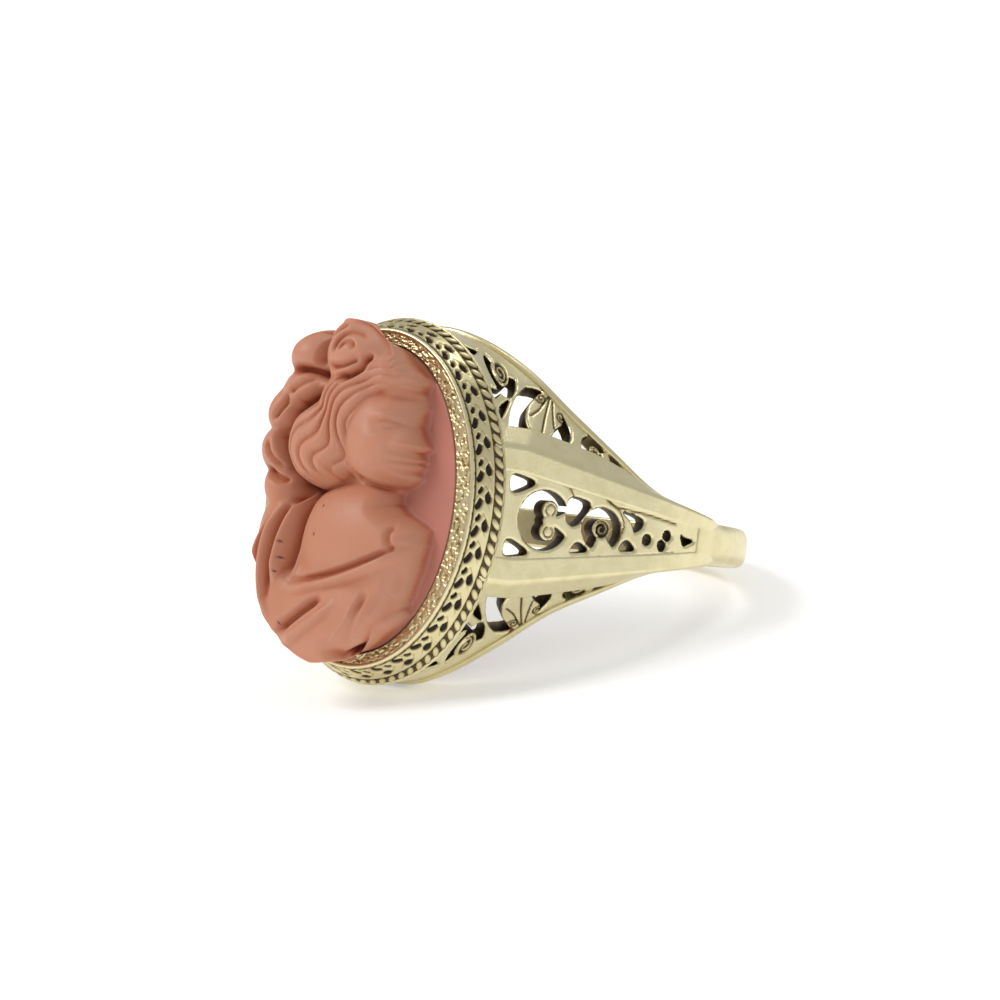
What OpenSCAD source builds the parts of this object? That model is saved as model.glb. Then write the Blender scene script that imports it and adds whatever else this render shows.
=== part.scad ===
// A woman's ring: a carved coral cameo in an oval milled bezel, on an open gallery
// and two pierced filigree shoulders that run down into a narrow plain shank.
// The ring is worked out upright, with X across the finger, Y along the finger and
// Z out through the cameo, and is then laid on its side as it would lie on a table.

/* [Finger] */
// Inside diameter of the finger hole
finger_d = 16.9; // [15.5:0.1:19]
// Thickness of the shank at the back of the finger
shank_t = 1.35; // [1:0.05:1.8]
// Width of the shank at the back of the finger
shank_w = 1.8; // [1.4:0.1:2.6]

/* [Cameo] */
// Width of the coral stone at its girdle
stone_w = 10; // [9:0.1:11]
// Length of the coral stone at its girdle
stone_l = 14.3; // [13:0.1:15.5]
// How far the stone narrows on each side between girdle and rim
stone_taper = 0.12; // [0.05:0.01:0.2]
// Height of the carving above the stone's rim
relief_h = 3.15; // [2.5:0.05:3.4]
// Gap between the stone and its seat
seat_gap = 0.05; // [0.03:0.01:0.1]

/* [Bezel] */
// Height of the seat above the centre of the finger
seat_z = 11.02; // [10.8:0.02:12]
// Height of the bezel from the seat to its ridge
bezel_h = 1.71; // [1.4:0.05:2.2]
// Width of the rim beside the stone
rim_w = 1.17; // [0.9:0.05:1.4]
// Width of the rim at the two ends of the stone
rim_end_w = 0.76; // [0.6:0.05:1.2]
// How far the bezel's wall spreads from the ridge down to its foot
band_flare = 0.64; // [0.4:0.02:0.9]
// Width of the ledge under the stone
ledge_w = 0.9; // [0.5:0.1:1.4]
// Thickness of the ledge under the stone
ledge_t = 0.5; // [0.4:0.05:0.8]

/* [Shoulders] */
// Thickness of the pierced walls
wall_t = 0.85; // [0.6:0.05:1]
// Distance from the middle of one bar to the middle of the other, at the bezel
bar_spacing = 5; // [4:0.1:6]
// Width of each bar at the bezel
bar_w = 1.2; // [0.9:0.05:1.4]
// Width of each bar where the two meet on the shank
bar_end_w = 0.76; // [0.6:0.02:0.9]
// Length over which the bars run level before they close in
bar_level_l = 1.2; // [0.5:0.1:2.5]
// How far below the level of the finger's middle the bars meet, in degrees
merge_drop = 9; // [4:1:16]
// Width over the two rails at the finger hole, under the cameo
rail_span = 16.4; // [15:0.1:17]
// How much further out the upper wall bulges than the lower one
upper_swell = 0.85; // [0:0.05:1]
// How far the pierced middle panels lie below the bars
panel_sink = 0.2; // [0.1:0.05:0.3]

/* [Wear] */
// Depth worn off the two corners that the ring lies on
rest_flat = 0.15; // [0.1:0.01:0.25]

/* [Hidden] */

// Radii of the finger hole and of the shank's outside
bore_r = finger_d / 2;
shank_r = bore_r + shank_t;

// Half axes of the ovals, from the stone outwards: [across, along]
girdle = [stone_w, stone_l] / 2;
rim = girdle - stone_taper * [1, 1];
ridge = rim + [rim_w, rim_end_w];
foot = ridge + band_flare * [1, 1];
ridge_z = seat_z + bezel_h;
// The rim lies a little below the ridge
rim_dip = 0.18;
rim_z = ridge_z - rim_dip;
ridge_t = 0.16;
// The gallery's edges are eased by this much
ease = 0.12;

// Where each bar leaves the foot of the bezel, as the turn round the oval from its end
corner_y = bar_spacing / 2 + bar_w / 2;
corner_turn = acos(corner_y / foot.y);
corner = [foot.x * sin(corner_turn), seat_z];
corner_angle = atan2(corner.y, corner.x);
// From there the bar runs straight until it touches the circle of the shank
touch_angle = corner_angle - acos(shank_r / norm(corner));
touch = shank_r * [cos(touch_angle), sin(touch_angle)];
line_l = norm(touch - corner);
degree_l = shank_r * PI / 180;
bar_l = line_l + (touch_angle + merge_drop) * degree_l;
half_loop_l = line_l + (touch_angle + 90) * degree_l;

// The rails round the finger hole spread from the shank to the cameo's ends:
// [angle above the middle of the finger, share of the spread]
rail_rows = [
    [-90, 0], [-34, 0], [0, 0.058], [15, 0.135], [30, 0.29], [45, 0.463],
    [60, 0.708], [75, 0.911], [90, 1], [105, 0.911]
];
// The share of the upper wall's bulge at the rail, by the same angle
$upper = 0;
swell_rows = [[-90, 0], [0, 0.05], [15, 0.18], [30, 0.55], [45, 0.95], [60, 0.85], [75, 0.4], [90, 0.1], [105, 0.4]];
// The wall leans forward from the foot of the bezel, by this angle at the bar
corner_lean = 2.5;
lean_l = 4.7;
// Share of the wall's turn, from the bezel's end to the bar, that is made at an even pace
even_turn = 0.7;

// The hollow ends short of where the bars meet
hollow_end = 1.86;
// How far cuts run past the faces they go through
past = 0.25;
// How far the walls run on into the finger hole before it is bored
into_bore = 0.6;

// Steps along the wall, by stretch: round the bezel's foot, down the bar, round the shank
foot_steps = 12;
bar_steps = 18;
shank_steps = 14;
oval_steps = 64;

function unit(v) = v / norm(v);
function clamp01(x) = min(max(x, 0), 1);

// A smooth curve through rows of [place, value], read at x
function slope(rows, i) =
    let (a = max(i - 1, 0), b = min(i + 1, len(rows) - 1))
    (rows[b][1] - rows[a][1]) / (rows[b][0] - rows[a][0]);
function row_below(rows, x) = max([for (i = [0 : len(rows) - 2]) if (i == 0 || rows[i][0] < x) i]);
function smooth(rows, x) =
    let (
        i = row_below(rows, x),
        h = rows[i + 1][0] - rows[i][0],
        f = clamp01((x - rows[i][0]) / h)
    )
    (2 * f ^ 3 - 3 * f ^ 2 + 1) * rows[i][1] + (f ^ 3 - 2 * f ^ 2 + f) * h * slope(rows, i)
    + (3 * f ^ 2 - 2 * f ^ 3) * rows[i + 1][1] + (f ^ 3 - f ^ 2) * h * slope(rows, i + 1);

// The middle line of a shoulder seen from the front, as [across, out], and its angle
function bar_path(p) =
    p <= line_l ? corner + (touch - corner) * p / line_l
    : shank_r * [cos(touch_angle - (p - line_l) / degree_l), sin(touch_angle - (p - line_l) / degree_l)];
function path_angle(p) = let (q = bar_path(p)) atan2(q.y, q.x);

// How far down the bar a place is; the bars close in and narrow as they go
function closing(p) = clamp01((p - bar_level_l) / (bar_l - bar_level_l));
function bar_width(p) = bar_w + (bar_end_w - bar_w) * closing(p);
function bar_outside(p) =
    bar_spacing / 2 + (shank_w / 2 - bar_end_w / 2 - bar_spacing / 2) * closing(p) + bar_width(p) / 2;

// The side wall is ruled between an outer edge and the rail at the finger hole. Its place is
// u: 0 to 1 round the bezel's foot, 1 to 2 down the bar, 2 to 3 round the shank.
function run(u) = u <= 2 ? (u - 1) * bar_l : bar_l + (u - 2) * (half_loop_l - bar_l);
function edge(u) =
    u <= 1 ? [foot.x * sin(corner_turn * u), foot.y * cos(corner_turn * u), seat_z]
    : let (p = run(u), q = bar_path(p)) [q.x, bar_outside(p), q.y];
function rail_angle(u) =
    u <= 1 ? 90 - (90 - corner_angle + corner_lean) * u * (even_turn + (1 - even_turn) * u)
    : path_angle(run(u)) - corner_lean * max(0, 1 - run(u) / lean_l);
function rail_half(angle) =
    shank_w / 2 + (rail_span - shank_w) / 2 * smooth(rail_rows, angle) + $upper * upper_swell * smooth(swell_rows, angle);
function rail(u) = let (a = rail_angle(u)) [bore_r * cos(a), rail_half(a), bore_r * sin(a)];
function wall(u, v) = edge(u) * (1 - v) + rail(u) * v;

// Directions on the side wall: down from the edge to the rail, along, and out of the wall
function wall_down(u) = unit(rail(u) - edge(u));
function wall_along(u, v) = u < 0.02 ? [1, 0, 0] : unit(wall(u + 0.02, v) - wall(u - 0.02, v));
function wall_out(u, v) = unit(cross(wall_along(u, v), wall_down(u)));
// Straight out of the middle panel, or up from the seat under the bezel
function panel_out(u) =
    u <= 1 ? [0, 0, 1]
    : let (d = unit(bar_path(run(u) + 0.05) - bar_path(run(u) - 0.05))) [-d.y, 0, d.x];

// One solid lofted through sections with the same number of points. A closed loft runs
// round to its first section; an open one has flat fans for ends.
module loft(sections, closed = false) {
    n = len(sections);
    m = len(sections[0]);
    points = [for (s = sections) each s];
    sides = [
        for (i = [0 : closed ? n - 1 : n - 2], j = [0 : m - 1])
            let (a = i * m, b = (i + 1) % n * m, k = (j + 1) % m)
            each [[a + j, b + j, b + k], [a + j, b + k, a + k]]
    ];
    ends = closed ? [] : [[for (j = [0 : m - 1]) j], [for (j = [m - 1 : -1 : 0]) (n - 1) * m + j]];
    polyhedron(points, concat(sides, ends), convexity = 6);
}

function flip_y(p) = [p.x, -p.y, p.z];
function flip_x(p) = [-p.x, p.y, p.z];
// A section's points on the upper side of the ring, then those on the lower side
function both_sides(upper, lower) = concat(upper, [for (i = [len(lower) - 1 : -1 : 0]) flip_y(lower[i])]);
function mirrored(section) = [for (p = section) flip_x(p)];

foot_places = [for (i = [0 : foot_steps - 1]) i / foot_steps];
bar_places = [for (i = [0 : bar_steps - 1]) 1 + i / bar_steps];
shank_places = [for (i = [0 : shank_steps]) 2 + i / shank_steps];

// The block that the gallery, shoulders and shank are cut from
function block_half(u) =
    let (n = wall_out(u, 0.5), e = panel_out(u), m = unit(n - (n * e) * e), a = edge(u))
    [for (p = [rail(u) + into_bore * wall_down(u), a - ease * e, a - ease * m]) u < 0.01 || u > 2.99 ? [0, p.y, p.z] : p];
module block() {
    right = [for (u = concat(foot_places, bar_places, shank_places)) both_sides(let ($upper = 1) block_half(u), block_half(u))];
    left = [for (i = [len(right) - 2 : -1 : 1]) mirrored(right[i])];
    loft(concat(right, left), closed = true);
}

// The hollow inside the gallery and the shoulders, open to the finger hole
function hollow_half(u) =
    let (
        n = wall_out(u, 0.5),
        e = panel_out(u),
        c = n * e,
        roof_t = u <= 1 ? ledge_t : wall_t,
        inner = edge(u) - (wall_t - c * roof_t) / (1 - c * c) * n - (roof_t - c * wall_t) / (1 - c * c) * e,
        low = rail(u) + 2 * into_bore * wall_down(u) - wall_t * n
    )
    [for (p = [low, inner]) u < 0.01 ? [0, p.y, p.z] : p];
module hollow() {
    places = concat(foot_places, [for (p = bar_places) if (p < hollow_end) p], [hollow_end]);
    right = [for (u = places) both_sides(let ($upper = 1) hollow_half(u), hollow_half(u))];
    left = [for (i = [len(right) - 1 : -1 : 1]) mirrored(right[i])];
    loft(concat(left, right));
}

// Oval rings for the bezel: [half axes, height]
function oval(axes, z) =
    [for (i = [0 : oval_steps - 1]) let (a = 360 * i / oval_steps) [axes.x * cos(a), axes.y * sin(a), z]];
module bezel() {
    lap = ease;
    rows = [
        [foot, seat_z],
        [ridge, ridge_z],
        [ridge - ridge_t * [1, 1], ridge_z],
        [ridge - 1.6 * ridge_t * [1, 1], ridge_z - 0.6 * rim_dip],
        [rim + seat_gap * [1, 1], rim_z],
        [girdle + seat_gap * [1, 1], seat_z - lap],
        [foot - 0.3 * [1, 1], seat_z - lap]
    ];
    loft([for (row = rows) oval(row[0], row[1])], closed = true);
}
module ledge_hole() {
    translate([0, 0, seat_z - ledge_t - past]) linear_extrude(ledge_t + 2 * past)
        polygon([for (p = oval(girdle - ledge_w * [1, 1], 0)) [p.x, p.y]]);
}

// The face of the middle panel is sunk below the bars beside it
function bar_gap(p) = bar_outside(p) - bar_width(p);
module middle_sink() {
    places = [for (p = [0.2 : 0.8 : bar_l]) if (bar_gap(p) > 0.3) p];
    loft([
        for (p = places)
            let (q = bar_path(p), e = panel_out(1 + p / bar_l), g = bar_gap(p), c = [q.x, 0, q.y])
            [c + e + [0, g, 0], c + e - [0, g, 0], c - panel_sink * e - [0, g, 0], c - panel_sink * e + [0, g, 0]]
    ]);
}

// A gap's outline is a list of places on the wall, or for the middle panel a list of
// [distance down from the bezel, distance across]. Hooks are C-shaped gaps round a scroll.
side_outlines = [
    [[0.36, 0.14], [0.50, 0.12], [0.52, 0.60]],
    [[0.70, 0.07], [0.79, 0.09], [0.83, 0.42]],
    [[0.835, 0.08], [0.912, 0.10], [0.91, 0.52]],
    [[1.20, 0.07], [1.335, 0.09], [1.29, 0.42]],
    [[1.455, 0.87], [1.47, 0.40], [1.54, 0.87]],
    [[1.43, 0.14], [1.55, 0.18], [1.605, 0.55], [1.555, 0.62], [1.50, 0.45]],
    [[1.61, 0.18], [1.70, 0.55], [1.635, 0.62]],
    [[1.66, 0.72], [1.79, 0.74], [1.79, 0.85], [1.66, 0.86]]
];
// One lens-shaped gap lies across the ring's middle plane, by the rail: half its outline
lens_outline = [[0, 0.58], [0.14, 0.64], [0.27, 0.73], [0.14, 0.81], [0, 0.86]];
middle_outlines = [
    [[0.5, 1.95], [2.2, 1.6], [0.65, 0.85]],
    [[0.55, -1.95], [2.2, -1.65], [0.7, -0.95]],
    [[3.72, 1.25], [5.15, 1.02], [4.25, -0.25], [3.62, 0.1]],
    [[3.95, -1.38], [5.2, -1.2], [4.45, -0.75]],
    [[6.5, 0.9], [7.85, 0.62], [7.8, 0.2], [7.35, -0.1], [7.2, 0.4]],
    [[6.55, -0.98], [7.0, -0.35], [7.65, -0.88]],
    [[9.95, 0.2], [10.3, 0.03], [11.05, -0.03], [10.2, -0.42]]
];
middle_holes = [[8.1, -0.3], [8.95, -0.47], [9.2, 0]];
middle_hole_r = 0.25;
// The window beside the bar, round a palmette that hangs from the rail
window_outline = [
    [1.09, 0.93], [0.985, 0.86], [0.94, 0.60], [0.945, 0.32], [1.02, 0.09], [1.12, 0.08], [1.225, 0.14],
    [1.285, 0.62], [1.20, 0.91], [1.235, 0.72], [1.195, 0.52], [1.18, 0.34], [1.13, 0.25], [1.075, 0.30],
    [1.04, 0.44], [1.025, 0.62], [1.055, 0.80]
];
// Hooks: [along, across, half length, half height, size of the scroll inside, turn, start, sweep]
side_hooks = [
    [0.75, 0.58, 1.35, 1.2, 0.55, 22, 150, 230],
    [1.395, 0.56, 0.85, 0.78, 0.45, 10, -30, -300]
];
middle_hooks = [
    [2.55, -0.05, 1.36, 1.36, 0.56, 0, 25, 310],
    [5.62, -0.1, 1.05, 0.98, 0.45, 0, 250, -300]
];
hook_steps = 12;

function outline_middle(outline) = [for (i = [0, 1]) let (all = [for (p = outline) p[i]]) (max(all) + min(all)) / 2];
function hook_outline(h) =
    let (
        at = [for (i = [0 : hook_steps]) let (a = h[6] + h[7] * i / hook_steps) [h[2] * cos(a), h[3] * sin(a)]],
        back = [for (i = [hook_steps : -1 : 0]) h[4] * at[i]],
        c = cos(h[5]),
        s = sin(h[5])
    )
    [for (p = concat(at, back)) [c * p.x - s * p.y, s * p.x + c * p.y]];

// Places children on a wall with X along it, Y down to the rail and Z out of it
module on_side(u, v) {
    x = wall_along(u, v);
    z = wall_out(u, v);
    y = cross(z, x);
    multmatrix([for (i = [0 : 2]) [x[i], y[i], z[i], wall(u, v)[i]]]) children();
}
module on_middle(p) {
    z = panel_out(1 + p / bar_l);
    q = bar_path(p);
    multmatrix([[-z.z, 0, z.x, q.x], [0, 1, 0, 0], [z.x, 0, z.z, q.y]]) mirror([1, 0, 0]) children();
}
function beside(p, u, v) =
    let (x = wall_along(u, v), y = cross(wall_out(u, v), x), d = p - wall(u, v)) [d * x, d * y];

cut_out = 0.8;
cut_in = wall_t + 0.5;
module cutter(outline) {
    translate([0, 0, -cut_in]) linear_extrude(cut_in + cut_out) polygon(outline);
}
module side_gaps() {
    for (outline = concat(side_outlines, [window_outline])) {
        c = outline_middle(outline);
        on_side(c.x, c.y) cutter([for (p = outline) beside(wall(p.x, p.y), c.x, c.y)]);
    }
    for (h = side_hooks) on_side(h[0], h[1]) cutter(hook_outline(h));
}
module middle_gaps() {
    for (outline = middle_outlines) {
        c = outline_middle(outline);
        on_middle(c.x) cutter([for (p = outline) [p.x - c.x, p.y]]);
    }
    for (h = middle_hooks) on_middle(h[0]) translate([0, h[1], 0]) cutter(hook_outline(h));
    for (h = middle_holes) on_middle(h.x) translate([0, h.y, -cut_in]) cylinder(r = middle_hole_r, h = cut_in + cut_out, $fn = 24);
}

module lens_gap() {
    at = outline_middle(lens_outline).y;
    half = [for (p = lens_outline) beside(wall(p.x, p.y), 0, at)];
    on_side(0, at) cutter(concat(half, [for (i = [len(half) - 2 : -1 : 1]) [-half[i].x, half[i].y]]));
}

module mounting_upright() {
    difference() {
        union() {
            block();
            bezel();
        }
        hollow();
        ledge_hole();
        rotate([90, 0, 0]) cylinder(r = bore_r, h = rail_span + 4, center = true, $fn = 96);
        for (sx = [0, 1]) mirror([sx, 0, 0]) {
            middle_sink();
            middle_gaps();
            for (sy = [0, 1]) mirror([0, sy, 0]) side_gaps($upper = 1 - sy);
        }
        for (sy = [0, 1]) mirror([0, sy, 0]) lens_gap($upper = 1 - sy);
    }
}

// The cameo: a bust in high relief, head to the finger's far end and facing right.
// All its places are for a stone with a rim of this size, and are scaled to the stone's own.
relief_rim = [4.88, 7.03];
// The highest of the domes below
relief_top = 3.15;
// How far the bare ground of the stone swells in the middle
ground_swell = 0.15;
// The carved form, as domes: [across, along, half width, half length, turn, height]
relief_masses = [
    // rose, second flower and leaves in the hair
    [-0.05, 6.45, 1.95, 1.95, 0, 3.15], [-2.75, 6.15, 1.5, 1.3, 0, 2.85],
    [-2.95, 4.75, 1.75, 1.05, 38, 2.75], [-4.1, 3.55, 1, 1.3, -15, 2.65],
    // hair over the forehead, over the crown and down to the ear
    [1.4, 5.9, 2.1, 1.7, -20, 2.5], [-0.2, 4.5, 2.4, 1.5, -12, 2.8], [-0.1, 3.4, 1.6, 1.7, 0, 2.65],
    // the large curl and the small ones behind it
    [-1.55, 2.35, 2.2, 2.15, 0, 2.95], [-1.95, 3.6, 1, 0.6, 30, 3.05], [-4.1, 1.7, 1, 1.35, 8, 2.75],
    [-3.8, 0.1, 1.05, 1.35, 10, 2.55],
    // forehead, cheek, jaw and neck
    [1.7, 4.1, 2.1, 1.7, 0, 2.4], [1.85, 2.8, 2.3, 2.3, 6, 2.65], [1.7, 1.75, 2, 1.2, 6, 2.45],
    [0.5, 0.1, 2.2, 1.6, -15, 1.35],
    // chest, shoulder and the cloth round them
    [0.5, -2.2, 3.5, 2.9, 0, 2.5], [2.7, -2.1, 2.1, 1.9, -20, 2.05], [-3.3, -3.3, 1.8, 4.2, 4, 2.6],
    [-0.5, -5.5, 4.3, 2.9, -10, 2.5], [2.5, -4, 2.4, 3.4, -16, 1.9]
];
// Ridges and grooves on it, each an arc through three places: [start, middle, end, half width, height]
relief_strokes = [
    // rose
    [[-0.6, 6.2], [0.0, 7.25], [0.95, 6.85], 0.2, -0.4], [[-0.3, 6.4], [0.15, 6.85], [0.5, 6.5], 0.18, -0.35],
    [[-1.45, 6], [-1.15, 7.1], [-0.1, 7.65], 0.2, -0.4], [[-1.15, 5.75], [-0.2, 5.75], [0.85, 6.3], 0.2, -0.45],
    [[-0.6, 5.25], [0.5, 5.55], [1.25, 6.5], 0.3, -0.8], [[-1.85, 5.6], [-1.75, 6.6], [-1.6, 7.3], 0.25, -0.7],
    // leaves
    [[-3.3, 5.35], [-2.3, 5.45], [-1.2, 5.05], 0.28, -0.8], [[-3.4, 4.2], [-2.6, 4.8], [-1.8, 5.2], 0.18, -0.35],
    [[-3.2, 3.6], [-2.4, 4.1], [-1.3, 4.75], 0.28, -0.6], [[-4.2, 3], [-3.7, 3.7], [-3.4, 4.4], 0.18, -0.35],
    // hair over the forehead and the crown
    [[2.9, 6.3], [1.2, 5.6], [-0.9, 5.2], 0.24, -0.28], [[2.95, 5.75], [1.3, 5.05], [-0.9, 4.75], 0.22, -0.26],
    [[2.7, 5.3], [1.2, 4.65], [-0.8, 4.35], 0.22, -0.3], [[2.1, 6.85], [0.9, 6], [-0.6, 5.5], 0.22, -0.24],
    [[2.5, 4.95], [1.2, 4.3], [-0.5, 4], 0.26, 0.2], [[0.6, 3.85], [0.1, 3], [0.35, 2], 0.26, -0.4],
    // the large curl
    [[-3.3, 3.1], [-1.55, 0.5], [0.25, 3.3], 0.34, 0.35], [[-2.85, 3], [-1.55, 0.95], [-0.2, 3.2], 0.2, -0.5],
    [[-2.45, 2.9], [-1.55, 1.3], [-0.6, 3], 0.28, 0.25], [[-2.2, 2.75], [-1.5, 1.75], [-0.9, 2.8], 0.26, -0.7],
    [[-1.9, 2.3], [-1.5, 2.15], [-1.15, 2.4], 0.3, -0.7], [[-2.7, 3.1], [-1.9, 3.05], [-1.2, 3.5], 0.2, -0.4],
    // the small curls
    [[-3.9, 2.7], [-3.35, 1.6], [-3, 0.7], 0.3, -0.8], [[-4.2, 2.2], [-3.9, 1.4], [-3.4, 0.9], 0.18, -0.3],
    [[-4.3, 1], [-3.7, 0.5], [-3, 0.3], 0.26, -0.5], [[-2.9, 0.6], [-2.6, 0], [-2.8, -0.7], 0.35, -0.7],
    // brow, eye, side of the nose, mouth and jaw
    [[1.5, 4.1], [2.1, 3.9], [2.9, 4.1], 0.42, -0.32], [[1.75, 3.85], [2.15, 3.98], [2.6, 3.85], 0.2, 0.16],
    [[2.95, 3.7], [2.85, 3.2], [2.7, 2.85], 0.26, -0.2], [[2.4, 1.98], [2.75, 1.95], [3.1, 2.02], 0.2, -0.2],
    [[0.2, 1.1], [1.2, 0.62], [2.5, 0.62], 0.3, -0.5],
    // cloth at the left of the chest
    [[-1.8, 0], [-2.2, -2.2], [-2.45, -4.2], 0.34, -0.9], [[-2.2, 0.1], [-2.75, -2.3], [-2.95, -4.4], 0.28, 0.4],
    [[-2.7, -0.2], [-3.25, -2.8], [-3.3, -5.2], 0.24, -0.55], [[-3.1, -0.6], [-3.75, -3.2], [-3.2, -6.2], 0.3, 0.35],
    [[-3.6, -1.2], [-4.2, -3.7], [-3.5, -6.1], 0.22, -0.5], [[-3.9, -1.6], [-4.5, -3.9], [-3.2, -6.9], 0.26, 0.3],
    // cloth across the chest and below it
    [[-2.5, -4.2], [0.2, -3.65], [4, -1.75], 0.2, -0.35], [[-2.6, -4.5], [0.2, -4], [4.1, -2.1], 0.34, 0.35],
    [[-2.9, -6.6], [-1.5, -5.7], [0, -4.7], 0.3, -0.75], [[-2.6, -7.1], [-0.9, -6.2], [0.8, -4.9], 0.32, 0.25],
    [[3.5, -3], [2.95, -4.8], [2, -6.2], 0.26, -0.3], [[2.1, -4.2], [1.6, -5.6], [0.8, -6.9], 0.26, -0.3],
    [[-0.1, -7.1], [1.1, -6.3], [1.7, -5], 0.26, 0.2], [[3.1, -1.1], [3, -1.8], [3.3, -2.4], 0.24, -0.3]
];
// The bust's front against the bare ground, from the hair down: [along, across]
relief_front = [
    [-7.2, 0.8], [-6.66, 1.7], [-5.66, 2.75], [-4.2, 3.42], [-3.05, 3.8], [-1.9, 4.05], [-1.2, 4], [-0.9, 3.5],
    [-0.6, 2.75], [-0.2, 2.2], [0.3, 2.1], [0.65, 2.4], [0.85, 2.9], [1.1, 3.15], [1.3, 3.15], [1.55, 3.02],
    [1.75, 3.18], [2.15, 3.24], [2.4, 3.12], [2.6, 3.6], [2.75, 3.62], [3, 3.4], [3.5, 3.1], [3.85, 2.92],
    [4.15, 3], [4.5, 2.92], [5, 2.65], [5.15, 2.8], [5.5, 3], [5.9, 2.95], [6.5, 2.6], [7.05, 1.95], [7.5, 1.4],
    [8, 0.6]
];
front_round = 1.05;
// A lower power makes each dome fuller at its edge
dome_power = 0.33;
// How far the relief stands out over the stone's edge: [turn round the stone, share]
relief_reach = [
    [58, 0], [72, 0.1], [85, 0.19], [110, 0.23], [125, 0.21], [136, 0.12], [150, 0.1], [165, 0.06], [185, 0.02],
    [200, 0.04], [215, 0.12], [235, 0.18], [262, 0.18], [280, 0.13], [292, 0.05], [300, 0]
];
relief_steps = 32;
// The relief is widest at this ring, counted from the stone's edge
reach_ring = 2;
// Only carving as high as this stands out in full
full_reach_h = 1.2;

function mass_height(m, p) =
    let (c = cos(m[4]), s = sin(m[4]), d = [p.x - m[0], p.y - m[1]], q = ((c * d.x + s * d.y) / m[2]) ^ 2 + ((c * d.y - s * d.x) / m[3]) ^ 2)
    q < 1 ? m[5] * (1 - q) ^ dome_power : 0;
// An arc through three places, as [middle, radius, start, sweep, half width, height]
function arc_of(s) =
    let (
        a = s[1] - s[0],
        b = s[2] - s[0],
        k = 2 * (a.x * b.y - a.y * b.x),
        m = s[0] + [b.y * (a * a) - a.y * (b * b), a.x * (b * b) - b.x * (a * a)] / k,
        from = atan2(s[0].y - m.y, s[0].x - m.x),
        to = atan2(s[2].y - m.y, s[2].x - m.x),
        sign = k > 0 ? 1 : -1,
        sweep = (sign * (to - from) + 720) % 360
    )
    [m, norm(s[0] - m), from, sign * sweep, s[3], s[4]];
relief_arcs = [for (s = relief_strokes) arc_of(s)];
function arc_height(s, p) =
    let (d = p - s[0], off = abs(norm(d) - s[1]) / s[4])
    off >= 1 ? 0
    : let (f = (sign(s[3]) * (atan2(d.y, d.x) - s[2]) + 720) % 360 / abs(s[3]))
      f >= 1 ? 0 : s[5] * (1 - off ^ 2) ^ 2 * min(1, 5 * f, 5 * (1 - f));
function sum(list) = list * [for (i = list) 1];
function relief(p) =
    let (
        t = clamp01((lookup(p.y, relief_front) - p.x) / front_round),
        body = max([for (m = relief_masses) mass_height(m, p)]),
        cut = sum([for (s = relief_arcs) arc_height(s, p)])
    )
    max(0, sqrt(1 - (1 - t) ^ 2) * (body + cut * clamp01(2 * body)));

// A square grid bent to a disc, ring by ring: places run from -1 to 1 both ways
function disc(s, t) =
    s == 0 && t == 0 ? [0, 0]
    : abs(s) >= abs(t) ? s * [cos(45 * t / s), sin(45 * t / s)]
    : t * [sin(45 * s / t), cos(45 * s / t)];
function relief_point(i, j) =
    let (
        d = disc(i / relief_steps, j / relief_steps),
        ring = relief_steps - max(abs(i), abs(j)),
        out = 1 - ring / relief_steps,
        widest = 1 - reach_ring / relief_steps,
        turn = (atan2(d.y, d.x) + 360) % 360,
        reach = lookup(turn, relief_reach) * (ring < reach_ring ? ring / reach_ring : (out / widest) ^ 3),
        flat = [d.x * relief_rim.x, d.y * relief_rim.y],
        high = ring == 0 ? 0 : relief(flat * (1 + reach) * min(1, widest / out)),
        h = ring < reach_ring ? 0.6 * high : high,
        p = flat * (1 + reach * clamp01(high / full_reach_h)),
        ground = rim_z + ground_swell * (1 - out ^ 2)
    )
    [p.x * rim.x / relief_rim.x, p.y * rim.y / relief_rim.y, ground + relief_h / relief_top * h];
function stone_edge(n) = [
    each [for (j = [-n : n - 1]) [n, j]], each [for (i = [n : -1 : 1 - n]) [i, n]],
    each [for (j = [n : -1 : 1 - n]) [-n, j]], each [for (i = [-n : n - 1]) [i, -n]]
];
carving = [for (i = [-relief_steps : relief_steps], j = [-relief_steps : relief_steps]) relief_point(i, j)];
module cameo_upright() {
    n = relief_steps;
    w = 2 * n + 1;
    edge = stone_edge(n);
    m = len(edge);
    top = carving;
    base = [for (e = edge) let (d = disc(e.x / n, e.y / n)) [d.x * girdle.x, d.y * girdle.y, seat_z + seat_gap]];
    carved = [
        for (i = [0 : w - 2], j = [0 : w - 2])
            let (a = i * w + j, b = a + w)
            each norm(top[a] - top[b + 1]) < norm(top[a + 1] - top[b])
                ? [[a, a + 1, b + 1], [a, b + 1, b]]
                : [[a, a + 1, b], [a + 1, b + 1, b]]
    ];
    rim_at = [for (e = edge) (e.x + n) * w + e.y + n];
    sides = [
        for (k = [0 : m - 1])
            let (l = (k + 1) % m)
            each [[rim_at[k], rim_at[l], w * w + l], [rim_at[k], w * w + l, w * w + k]]
    ];
    polyhedron(concat(top, base), concat(carved, sides, [[for (k = [0 : m - 1]) w * w + k]]), convexity = 8);
}

// The ring lies on one rail's end and the corner of the shank, both worn a little flat. The
// floor meets the finger's line at this angle.
shank_low = [shank_w / 2, shank_r - ease];
lie_angle = atan2(rail_span / 2 - shank_low.x, bore_r + shank_low.y);
lift = rail_span / 2 * cos(lie_angle) - bore_r * sin(lie_angle) - rest_flat;
// From front to back the part is centred between the carving and the shank
back_y = max(shank_low * [sin(lie_angle), cos(lie_angle)], (shank_w / 2 - ease) * sin(lie_angle) + shank_r * cos(lie_angle));
front_y = min([for (p = carving) p.y * sin(lie_angle) - p.z * cos(lie_angle)]);
module laid_down() {
    translate([0, -(front_y + back_y) / 2, lift]) rotate([90 - lie_angle, 0, 0]) children();
}

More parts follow.
